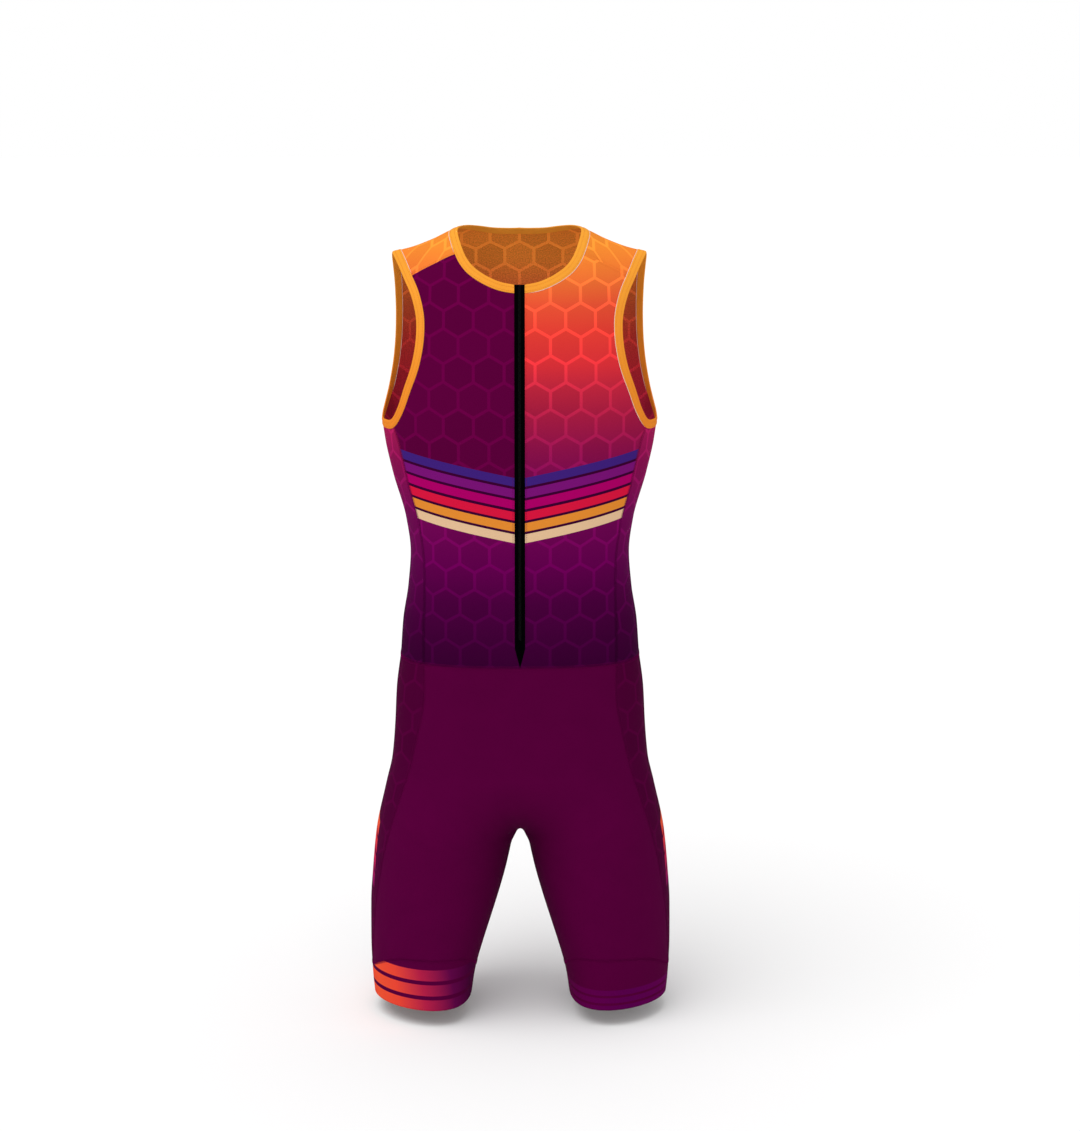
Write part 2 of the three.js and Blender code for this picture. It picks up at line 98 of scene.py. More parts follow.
# the edges and seams of the cut, in mm
cut = {
    "zipHalf": 5.8, "zipPoint": -467, "bandWidth": 10,
    "neckEdge": [
        (5.8, -81.5, -57), (21.5, -79.3, -54.2), (38, -74.4, -47.2), (51, -67.2, -38.5), (58.5, -59, -30),
        (62.8, -50.6, -21.9), (67.5, -34, -10), (69.5, -13, -2.5), (67, 9, 0), (60.5, 28, -1),
        (49, 44.5, -2.4), (33, 55, -3.6), (16, 58.8, -4.1), (0, 59.9, -4.3),
    ],
    "neckShoulder": 5,
    "armEdge": [
        (143.5, -62.5, -209.5), (136.5, -72, -196.5), (128.5, -79, -172), (120, -82, -148),
        (115, -80, -124), (114.2, -75, -103), (116.5, -69.5, -88), (121, -58.5, -71), (128, -45, -56),
        (136.5, -27, -39.5), (142.5, -8, -29.5), (143.8, 10, -28.5), (143.5, 27, -40), (142.8, 40, -60),
        (142.6, 48, -85), (143, 51.5, -110), (144.8, 51.5, -137), (148.3, 47, -163), (152.8, 36, -188),
        (155, 20, -203), (156.5, 0, -209.5), (155, -21, -212), (151, -44, -212), (143.5, -62.5, -209.5),
    ],
    "armShoulder": 8, "armBack": 18,
    "sideFront": [(114, -69.5, -395), (120, -70, -301), (134.5, -70.5, -235)],
    "sideBack": [(116, 70, -395), (127, 66, -301), (141, 56, -232)],
    "cuffHeight": 35, "cuffRise": 28,
    # thickness of the cloth, depth and half width of a seam's dent, its shares inside and at the shoulder
    "cloth": 0.95, "dent": 0.28, "dentHalf": 1.0, "dentInside": 0.2, "shoulderDent": 0.4,
}
# cells of the grids for each stretch of the solids' rows, close lines beside each seam, in cells, and how
# many steps in a mm tell two points apart
mesh = {"fine": 8, "across": 64, "sideAcross": 40, "legAcross": 60, "close": (0.12, 0.3, 0.6), "apart": 200}
# how the form is read: halvings of a ray, its reach, the half chord of a normal in mm, chords of a length,
# steps of a guided line, and the half step of a normal on the shorts as a share
reading = {"halvings": 34, "reach": 3.0, "chord": 0.8, "chords": 25, "steps": 50, "nudge": 0.006}


def tableCurve(rows, flatEnd=False):
    # monotone cubic through a table's rows: harmonic mean of the chord slopes, chord slopes at the ends
    rows = np.array(sorted(rows), float)
    at, values = rows[:, 0], rows[:, 1:]
    steps = np.diff(at)[:, None]
    slopes = np.diff(values, axis=0) / steps
    before, after = slopes[:-1], slopes[1:]
    w1, w2 = 2 * steps[1:] + steps[:-1], steps[1:] + 2 * steps[:-1]
    with np.errstate(divide="ignore", invalid="ignore"):
        between = np.where(before * after > 0, (w1 + w2) / (w1 / before + w2 / after), 0)
    tangents = np.vstack([slopes[:1], between, slopes[-1:] * (not flatEnd)])

    def read(q):
        q = np.clip(q, at[0], at[-1])
        i = np.clip(np.searchsorted(at, q) - 1, 0, len(at) - 2)
        h = steps[i]
        t = (q - at[i])[..., None] / h
        low = (2 * t**3 - 3 * t**2 + 1) * values[i] + (t**3 - 2 * t**2 + t) * h * tangents[i]
        return low + (3 * t**2 - 2 * t**3) * values[i + 1] + (t**3 - t**2) * h * tangents[i + 1]

    return read


torsoAt = tableCurve(form["torso"], True)
ridgeAt = tableCurve(form["ridge"])
legsAt = tableCurve(form["legs"])
inseamAt = tableCurve(form["inseam"])
shortsSeamAt = tableCurve(form["shortsSeam"])


def unit(v):
    return v / np.maximum(np.linalg.norm(v, axis=-1, keepdims=True), 1e-9)


def smooth(t):
    s = np.clip(t, 0, 1)
    return s * s * (3 - 2 * s)


def torsoSection(x, z, front):
    # half width, depth and exponent of the rounded section at a height; the depth narrows to 0 at the ridge
    half, depthFront, depthBack = np.moveaxis(torsoAt(np.minimum(z, form["armLevel"])), -1, 0)
    n = np.where(front, form["frontShoulder"], form["backShoulder"])
    s = (z - form["armLevel"]) / (ridgeAt(np.abs(x))[..., 0] - form["armLevel"])
    narrow = (1 - np.clip(s, 0, 1) ** n) ** (1 / n)
    m = np.where(front, form["frontRound"], form["backRound"])
    return half, np.where(front, depthFront, depthBack) * narrow, m, s < 1


def ontoTorso(guide):
    # the point where the ray from the axis through each guide point leaves the torso form, by halving
    start = np.zeros_like(guide)
    start[..., 2] = np.minimum(guide[..., 2], form["armLevel"])
    ray = guide - start
    low, high = np.zeros(guide.shape[:-1]), np.full(guide.shape[:-1], reading["reach"])
    for turn in range(reading["halvings"]):
        middle = (low + high) / 2
        p = start + ray * middle[..., None]
        half, depth, m, below = torsoSection(p[..., 0], p[..., 2], p[..., 1] < 0)
        size = (np.abs(p[..., 0]) / half) ** m + (np.abs(p[..., 1]) / np.maximum(depth, 1e-6)) ** m
        inside = below & (size < 1)
        low, high = np.where(inside, middle, low), np.where(inside, high, middle)
    return start + ray * low[..., None]


def torsoNormal(p):
    # cross product of two short chords of the form at each point
    out = p.copy()
    out[..., 2] -= np.minimum(p[..., 2], form["armLevel"])
    out = unit(out)
    across = unit(np.cross(np.where(np.abs(out[..., 2:]) < 0.8, (0, 0, 1), (0, 1, 0)), out))
    along = np.cross(out, across)
    half = reading["chord"]
    a, b = (ontoTorso(p + way * half) - ontoTorso(p - way * half) for way in (across, along))
    n = unit(np.cross(a, b))
    return n * np.sign((n * out).sum(-1, keepdims=True))


def torsoDepth(x, z, side):
    half, depth, m, below = torsoSection(x, z, side < 0)
    return side * depth * np.clip(1 - (np.abs(x) / half) ** m, 0, 1) ** (1 / m)


def torsoSpot(x, z, side):
    x, z = np.broadcast_arrays(np.asarray(x, float), np.asarray(z, float))
    return np.stack([x, torsoDepth(x, z, np.float64(side)), z], -1)


def shortsPlace(share, z, side):
    # half of the hips and one leg: share runs from the middle or inseam to the side. Above the crotch the
    # section is the torso's, below it the leg's ellipse, and they melt into each other over the rise
    share, z = np.broadcast_arrays(np.asarray(share, float), np.asarray(z, float))
    outer, depthFront, depthBack, lean = np.moveaxis(legsAt(z), -1, 0)
    depth = depthFront if side < 0 else depthBack
    r, arch = form["crotchRadius"], form["crotchArch"]
    below = form["crotch"] - z
    near = np.clip(below / form["crotchBlend"], 0, 1)
    gap = arch * np.maximum(below, 0) * (1 - near) + inseamAt(z)[..., 0] ** 2 * near
    inner = np.where(below < 0, r * np.exp(arch * np.minimum(below, 0) / (2 * r * r)), np.sqrt(r * r + gap))
    end, start = np.hypot(outer, r), np.maximum(inner, r)
    along = (1 - np.cos(np.pi * share)) / 2
    x = np.sqrt(np.maximum((start + along * (end - start)) ** 2 - r * r, 0))
    g = np.clip((np.hypot(x, r) - inner) / (end - inner), 0, 1)
    torsoShare = smooth((z - form["crotch"]) / form["crotchRise"])
    m = form["frontRound"] if side < 0 else form["backRound"]
    section = (1 - np.clip(x / outer, 0, 1) ** m) ** (1 / m)
    height = np.sqrt((1 - torsoShare) * 4 * g * (1 - g) + torsoShare * section**2)
    inwards = lean * height**2 * (1 - torsoShare) * smooth(x / form["leanFrom"])
    return np.stack([x - inwards, side * depth * height, z], -1)


def shortsNormal(share, z, side):
    step = reading["nudge"]
    c, h = np.clip(share, step, 1 - step), np.clip(z, form["hem"] + 1, form["waist"] - 1)
    a = shortsPlace(c + step, h, side) - shortsPlace(c - step, h, side)
    b = shortsPlace(c, h + 1, side) - shortsPlace(c, h - 1, side)
    n = np.cross(a, b) * -side
    above = z > form["crotch"]
    n[..., 0] = np.where((share <= 0) & above, 0, n[..., 0])
    n[..., 1] = np.where(((share <= 0) & ~above) | (share >= 1), 0, n[..., 1])
    pole = (share <= 0) & (np.abs(z - form["crotch"]) < 0.5)
    return unit(np.where(pole[..., None], (0, 0, -1), n))


def evenly(line, count):
    # a line read off again at even lengths
    far = np.concatenate([[0], np.cumsum(np.linalg.norm(np.diff(line, axis=0), axis=1))])
    at = np.linspace(0, far[-1], count + 1)
    return np.stack([np.interp(at, far, line[:, k]) for k in range(line.shape[1])], -1)


def smoothLine(guides, count, before=None, after=None):
    # centripetal Catmull-Rom line through the guide points; the points before and after, or else mirrored
    # end points, give its end tangents
    g = np.array(guides, float)
    before = 2 * g[0] - g[1] if before is None else before
    after = 2 * g[-1] - g[-2] if after is None else after
    g = np.vstack([before, g, after])
    p0, p1, p2, p3 = g[:-3], g[1:-2], g[2:-1], g[3:]
    d0, d1, d2 = (np.sqrt(np.linalg.norm(b - a, axis=1))[:, None] for a, b in ((p0, p1), (p1, p2), (p2, p3)))
    leave = ((p1 - p0) / d0 - (p2 - p0) / (d0 + d1) + (p2 - p1) / d1) * d1
    arrive = ((p2 - p1) / d1 - (p3 - p1) / (d1 + d2) + (p3 - p2) / d2) * d1
    t = np.linspace(0, 1, reading["steps"])[:, None, None]
    line = (2 * t**3 - 3 * t**2 + 1) * p1 + (t**3 - 2 * t**2 + t) * leave
    line = line + (3 * t**2 - 2 * t**3) * p2 + (t**3 - t**2) * arrive
    return evenly(line.transpose(1, 0, 2).reshape(-1, 3), count)


def torsoLine(guides, count, before=None, after=None):
    return ontoTorso(smoothLine(guides, count * mesh["fine"], before, after))


def besideEdge(edge, side, closed):
    # the line one band width away from an edge, on the form
    before, after = np.roll(edge, 1, 0), np.roll(edge, -1, 0)
    before[0], after[-1] = (edge[-2], edge[1]) if closed else (edge[0], edge[-1])
    away = unit(np.cross(torsoNormal(edge), after - before))
    return ontoTorso(edge + away * side * cut["bandWidth"])


# neck and armhole lines, counted in the solids' rows
neckTurn, armTurn, armLow = cut["neckShoulder"], cut["armShoulder"], cut["armBack"]
neckGuides, armGuides = cut["neckEdge"], cut["armEdge"]
neckFrontEdge = torsoLine(neckGuides[: neckTurn + 1], 5, after=neckGuides[neckTurn + 1])
pastBack = (-neckGuides[-2][0], *neckGuides[-2][1:])
neckBackEdge = torsoLine(neckGuides[neckTurn:], 9, neckGuides[neckTurn - 1], pastBack)
neckEdge = np.vstack([neckFrontEdge, neckBackEdge[1:]])
neckEdge[0] = torsoSpot(cut["zipHalf"], neckEdge[0, 2], -1)
neckSeam = besideEdge(neckEdge, -1, False)
neckSeam[0] = torsoSpot(cut["zipHalf"], neckSeam[0, 2], -1)
neckSeam[-1] = torsoSpot(0, neckSeam[-1, 2], 1)
armFrontEdge = torsoLine(armGuides[: armTurn + 1], 10, armGuides[-2], armGuides[armTurn + 1])
armOverEdge = torsoLine(armGuides[armTurn : armLow + 1], 14, armGuides[armTurn - 1], armGuides[armLow + 1])
armUnderEdge = torsoLine(armGuides[armLow:], 6, armGuides[armLow - 1], armGuides[1])
armEdge = np.vstack([armFrontEdge, armOverEdge[1:], armUnderEdge[1:]])
armSeam = besideEdge(armEdge, 1, True)
neckCut, armCuts = 5 * mesh["fine"], (10 * mesh["fine"], 24 * mesh["fine"])
neckFrontSeam, neckBackSeam = neckSeam[: neckCut + 1], neckSeam[neckCut:]
armFrontSeam, armOverSeam = armSeam[: armCuts[0] + 1], armSeam[armCuts[0] : armCuts[1] + 1]
armUnderSeam = armSeam[armCuts[1] :]

# waist, side and shoulder seams
waistShare = shortsSeamAt(np.float64(form["waist"]))
many = np.linspace(0, 1, 200)
waistFront = ontoTorso(shortsPlace(waistShare[0] * many, form["waist"], -1))
waistBack = ontoTorso(shortsPlace(waistShare[1] * many, form["waist"], 1))
waistSideFront = ontoTorso(shortsPlace(waistShare[0] + (1 - waistShare[0]) * many, form["waist"], -1))
waistSideBack = ontoTorso(shortsPlace(1 - (1 - waistShare[1]) * many, form["waist"], 1))
waistSide = np.vstack([waistSideFront, waistSideBack[1:]])
sideFront = torsoLine([waistFront[-1], *cut["sideFront"], armFrontSeam[0]], 10)
sideBack = torsoLine([waistBack[-1], *cut["sideBack"], armUnderSeam[0]], 10)
shoulderSeam = ontoTorso(neckFrontSeam[-1] + (armOverSeam[0] - neckFrontSeam[-1]) * many[:, None])

# the front edge: from the zip's point out to the tape's side, then up to the neck band
zipRow = np.arange(15 * mesh["fine"] + 1) / mesh["fine"]
zipZ = np.interp(zipRow, (0, 1, 15), (form["waist"], cut["zipPoint"], neckFrontSeam[0, 2]))
zipEdge = torsoSpot(np.minimum(zipRow, 1) * cut["zipHalf"], zipZ, -1)
backZ = np.linspace(form["waist"], neckBackSeam[-1, 2], 15 * mesh["fine"] + 1)
backMiddle = torsoSpot(0, backZ, 1)
print("seam lines laid")


def shares(count):
    # even steps from 0 to 1 with close lines beside both ends
    near = np.array(mesh["close"]) / count
    return np.unique(np.concatenate([np.linspace(0, 1, count + 1), near, 1 - near]))


def torsoPatch(left, right, bottom, top, columns, rows):
    # surface between four lines: the two ruled surfaces less the one of the corners, laid on the form
    def along(line, at):
        where = np.linspace(0, 1, len(line))
        return np.stack([np.interp(at, where, line[:, k]) for k in range(3)], -1)

    u, v = columns[None, :, None], rows[:, None, None]
    l, r = along(left, rows)[:, None], along(right, rows)[:, None]
    b, t = along(bottom, columns), along(top, columns)
    corners = (bottom[0] * (1 - u) + bottom[-1] * u) * (1 - v) + (top[0] * (1 - u) + top[-1] * u) * v
    p = ontoTorso(l * (1 - u) + r * u + b * (1 - v) + t * v - corners)
    return {"p": p, "n": torsoNormal(p)}


def acrossLength(p, side):
    # length from the middle to each point, summed over short chords of the line that stays at the point's
    # share of the way up from the armholes' level to the shoulder ridge
    base = form["armLevel"]
    x = np.abs(p[..., :1]) * np.linspace(0, 1, reading["chords"])
    share = np.clip((p[..., 2] - base) / (ridgeAt(np.abs(p[..., 0]))[..., 0] - base), 0, 1)[..., None]
    z = np.minimum(p[..., 2:3], base) + share * (ridgeAt(x)[..., 0] - base)
    y = torsoDepth(x, z, side[..., None] + 0 * x)
    return np.sqrt(np.diff(x) ** 2 + np.diff(y) ** 2 + np.diff(z) ** 2).sum(-1)


def upLength(p, side):
    # length of the profile from the shoulder ridge down to each point, at its own distance from the middle
    top = ridgeAt(np.abs(p[..., 0]))[..., 0]
    base = form["armLevel"]
    turn = np.arcsin(np.clip((p[..., 2] - base) / (top - base), 0, 1))[..., None]
    turns = turn + (np.pi / 2 - turn) * np.linspace(0, 1, reading["chords"])
    z = base + (top - base)[..., None] * np.sin(turns)
    y = torsoDepth(p[..., :1] + 0 * z, z, side[..., None] + 0 * z)
    return np.hypot(np.diff(z), np.diff(y)).sum(-1) + np.maximum(base - p[..., 2], 0)


def layFlat(grid, over=False):
    # the cut's own coordinates in metres: across from the middle, up from the armholes' level, and for the
    # back on over the shoulder ridge
    p = grid["p"]
    side = np.where(p[..., 1] < 0, -1.0, 1.0)
    level = p.copy()
    level[..., 2] = form["armLevel"]
    down = upLength(p, side)
    up = upLength(level, 0 * side + 1) + down if over else 0
    up = np.where((side < 0) & over, up, upLength(level, side) - down)
    grid["uv"] = np.stack([acrossLength(p, side), up], -1) * mm
    return grid


def layByRows(grid, middle):
    # the cut's coordinates by lengths along the rows from a middle column, and by height
    step = np.linalg.norm(np.diff(grid["p"], axis=1), axis=2)
    far = np.concatenate([np.zeros((len(step), 1)), np.cumsum(step, 1)], 1)
    grid["uv"] = np.stack([far - far[:, middle : middle + 1], grid["p"][..., 2]], -1) * mm
    return grid


def dented(grid, left=1, right=1, bottom=1, top=1):
    # depth of the seam dents: a bell curve of the distance from each sewn edge
    p = grid["p"]
    column, row = np.linalg.norm(np.diff(p, axis=1), axis=2), np.linalg.norm(np.diff(p, axis=0), axis=2)
    fromLeft = np.concatenate([np.zeros((len(p), 1)), np.cumsum(column, 1)], 1)
    fromBottom = np.concatenate([np.zeros((1, p.shape[1])), np.cumsum(row, 0)], 0)
    far = (fromLeft, fromLeft[:, -1:] - fromLeft, fromBottom, fromBottom[-1:] - fromBottom)
    bells = [w * np.exp(-((d / cut["dentHalf"]) ** 2)) for w, d in zip((left, right, bottom, top), far)]
    grid["dent"] = cut["dent"] * np.maximum.reduce([b + 0 * fromLeft for b in bells])
    return grid


def mirror(grid):
    flip = np.array((-1, 1, 1))
    other = {**grid, "p": grid["p"] * flip, "n": grid["n"] * flip}
    if "uv" in grid:
        other["uv"] = grid["uv"] * (-1, 1)
    return other


def gather(grids):
    # joins grids where their points meet: places, mean normals, dents, coordinates of all corners, the corners
    # kept, and the faces by joined points and by corners, without those of fewer than three points
    found, first = [], 0
    for g in grids:
        rows, columns = g["p"].shape[:2]
        index = np.arange(rows * columns).reshape(rows, columns)
        quads = np.stack([index[:-1, :-1], index[:-1, 1:], index[1:, 1:], index[1:, :-1]], -1).reshape(-1, 4)
        p, n = g["p"].reshape(-1, 3), g["n"].reshape(-1, 3)
        a, b, c, d = (p[quads[:, k]] for k in range(4))
        away = (np.cross(c - a, d - b) * n[quads[:, 0]]).sum(-1)
        quads[away < 0] = quads[away < 0][:, ::-1]
        found.append((p, n, g["uv"].reshape(-1, 2), g["dent"].ravel(), quads + first))
        first += rows * columns
    p, n, uv, dent, faces = (np.concatenate(values) for values in zip(*found))
    steps = np.round(p * mesh["apart"]).astype(np.int64)
    kept, joined = np.unique(steps, axis=0, return_index=True, return_inverse=True)[1:]
    joined = joined.ravel()
    mean = np.zeros((len(kept), 3))
    np.add.at(mean, joined, n)
    good = [len(set(f)) >= 3 for f in joined[faces].tolist()]
    return p[kept], unit(mean), dent[kept], uv, kept, joined[faces][good], faces[good]


def buildMesh(name, places, faces, corners, slots, rounded, *materials):
    # faces are rows of four corners; a row that names a corner twice is a triangle
    twice = faces == np.roll(faces, -1, 1)
    whole = ~twice.any(1)
    shape = [f.tolist() if w else f[~t].tolist() for f, w, t in zip(faces, whole, twice)]
    made = bpy.data.meshes.new(name)
    made.from_pydata(places * mm, [], shape)
    made.uv_layers.new(name="Cut").data.foreach_set("uv", corners[~twice].ravel())
    made.polygons.foreach_set("material_index", slots)
    made.polygons.foreach_set("use_smooth", rounded)
    made.validate()
    for material in materials:
        made.materials.append(material)
    return linked(name, made)


def clothShell(name, grids, finish, inside, rise=0.0):
    # a thin closed shell: the outer skin along the normals, the inner skin behind it, and a rim where it ends
    p, n, dent, uv, kept, faces, sources = gather(grids)
    outer = p + n * (rise - dent)[:, None]
    inner = p + n * (rise - cut["cloth"] - cut["dentInside"] * dent)[:, None]
    count = len(p)
    a, b = faces.ravel(), np.roll(faces, -1, 1).ravel()
    a, b = a[a != b], b[a != b]
    rim = ~np.isin(a * count + b, b * count + a)
    a, b = a[rim], b[rim]
    everyFace = np.concatenate([faces, faces[:, ::-1] + count, np.stack([b, a, a + count, b + count], -1)])
    sideSources = np.stack([kept[b], kept[a], kept[a], kept[b]], -1)
    everyCorner = uv[np.concatenate([sources, sources[:, ::-1], sideSources])]
    parts = [len(faces), len(faces), len(a)]
    slots, rounded = np.repeat([0, 1, 0], parts), np.repeat([True, True, False], parts)
    places = np.concatenate([outer, inner])
    return buildMesh(name, places, everyFace, everyCorner, slots, rounded, finish, inside)


def solidPiece(name, grids, finish):
    p, n, dent, uv, kept, faces, sources = gather(grids)
    none, some = np.zeros(len(faces), int), np.ones(len(faces), bool)
    return buildMesh(name, p, faces, uv[sources], none, some, finish)


def settle(thing, node=None):
    # a finished piece rides on the suit's one body; where it stands for a solid, it replaces that node
    if node:
        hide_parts(node)
    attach(thing, "root")


# each wrong side: how bright it is beside the right side, darker partly for the duller reverse of the print and
# partly as painted shade on the inside, and its speckle
wrongSideAndShade = {"torso": (0.85, "wrong"), "back": (1.0, "wrong"), "shorts": (0.7, "right")}
# the studio: floor height, light from all round, a soft sun from the viewer's left, and what they add up to
stage = {
    # the floor's glow is painted light that lifts the shadows on it
    "floor": -0.926, "half": 30, "white": 0.93, "shadowLiftGlow": 0.09, "light": 0.66, "gain": 1.14,
    "sun": 1.65, "sunTurn": -40, "sunUp": 66, "sunSoft": 50,
    # a weak lamp within the chest, for the inner side that shows in the neck and armholes
    "inner": 0.135, "innerPlace": (0, 0, -0.17), "innerRound": 0.04,
}
# thread and knit finishes
ink = {
    # height in mm and colour of the long fade, from the hips up to the shoulders
    "fade": [
        (-490, (58, 0, 50)), (-460, (66, 0, 56)), (-415, (80, 0, 66)), (-370, (104, 0, 82)),
        (-325, (118, 6, 88)), (-265, (132, 12, 84)), (-234, (152, 20, 78)), (-200, (176, 30, 70)),
        (-167, (206, 42, 66)), (-144, (232, 52, 60)), (-110, (244, 66, 56)), (-80, (246, 88, 56)),
        (-50, (250, 122, 54)), (-20, (255, 146, 52)), (20, (255, 158, 56)),
    ],
    # the side panels start from magenta below the armholes
    "side": [
        (-490, (58, 0, 50)), (-440, (70, 0, 58)), (-380, (96, 2, 76)), (-320, (120, 8, 88)),
        (-260, (146, 16, 86)), (-205, (180, 30, 90)),
    ],
    # the wrong side of the upper body's cloth as it shows in the neck and armholes, with painted light and
    # painted shade: lighter than the right side low in the armholes, where the inside lies in shade, browner in
    # the middle, and yellower near the top
    "inside": [
        (-490, (58, 0, 50)), (-325, (120, 10, 84)), (-234, (186, 40, 84)), (-200, (204, 48, 76)),
        (-165, (206, 54, 64)), (-130, (206, 66, 58)), (-95, (212, 96, 58)), (-65, (236, 128, 60)),
        (-40, (252, 152, 60)), (20, (255, 156, 58)),
    ],
    "band": [(-212, (250, 146, 46)), (-120, (255, 160, 52)), (20, (255, 174, 60))],
    "plum": (96, 0, 62), "shorts": (88, 0, 59), "shortsSide": (78, 0, 52), "pale": (255, 222, 204),
    "black": (2, 2, 3), "deep": (60, 2, 50), "coil": (6, 6, 7),
    # sewing threads: for the dark cloth, the shorts and the bands; the first two are lighter than their cloth,
    # painted light that offsets the shade in the seam dents
    "threadPlum": (116, 0, 80), "threadShorts": (112, 0, 76), "threadBand": (246, 150, 58),
    # the plain bands across the chest, from the top down
    "chest": [(66, 34, 128), (126, 20, 122), (180, 0, 106), (226, 24, 66), (240, 146, 52), (240, 200, 158)],
    # the warm cuff's last colours, towards the inseam, are darker partly for the print and partly as painted
    # shade between the legs
    "cuffWarm": [(240, 76, 54), (250, 88, 54), (244, 74, 56), (188, 34, 74), (104, 8, 78), (82, 0, 62)],
    "cuffCool": [(104, 0, 82), (102, 0, 84), (94, 0, 82), (98, 0, 78), (104, 0, 76)],
    "blocks": [(150, 18, 96), (206, 36, 84), (240, 66, 60), (250, 112, 54)],
}
# the cell pattern in m: width of a cell and of its line, softness of the line's edge, steps that tell cells
# apart; then how much lighter the line is, how much cells differ, and how strong it all is on the shorts
cells = {
    "size": 0.034, "line": 0.0034, "soft": 0.0004, "step": 0.008,
    "lighter": 1.34, "spread": 0.12, "shorts": 0.7,
}
# the chest bands in mm: middle height of their foot, one band, one gap, rise for each mm from the zip
chest = {"foot": -345, "band": 10, "gap": 3, "slope": 0.21}
# the blocks down the side line of the shorts, and the bands round the cuffs, in mm
blocks = {"top": -678, "tall": 17, "gap": 4, "count": 4, "half": 26, "slant": 0.5}
cuffBands = {
    "foot": -0.5, "round": 180,
    "warm": {"band": 14, "gap": 5, "count": 3}, "cool": {"band": 6.5, "gap": 3, "count": 3},
}


# the knit's speckle on each side: grains in a metre, and how dark and light they are
speckle = {"right": (1400.0, 0.94, 1.04), "wrong": (640.0, 0.76, 1.18)}
# the knit's ribs: one column in m, a loop's share of it, grains of the unevenness, the bump's strength and depth
knitting = {"pitch": 0.0011, "loop": 0.8, "grain": 900.0, "strength": 0.35, "depth": 0.0002}
# roughness and shine of the printed knit, the plain knit, thread and nylon
gloss = {"knit": (0.9, 0.012), "plain": (0.86, 0.012), "thread": (0.8, 0.02), "nylon": (0.5, 0.1)}


def linear(colour):
    # a colour as the studio light shows it, less the gain of that light
    c = np.array(colour) / 255
    return (*(np.where(c <= 0.04045, c / 12.92, ((c + 0.055) / 1.055) ** 2.4) / stage["gain"]).tolist(), 1)


def evenStops(colours):
    return [(k / (len(colours) - 1), linear(c)) for k, c in enumerate(colours)]


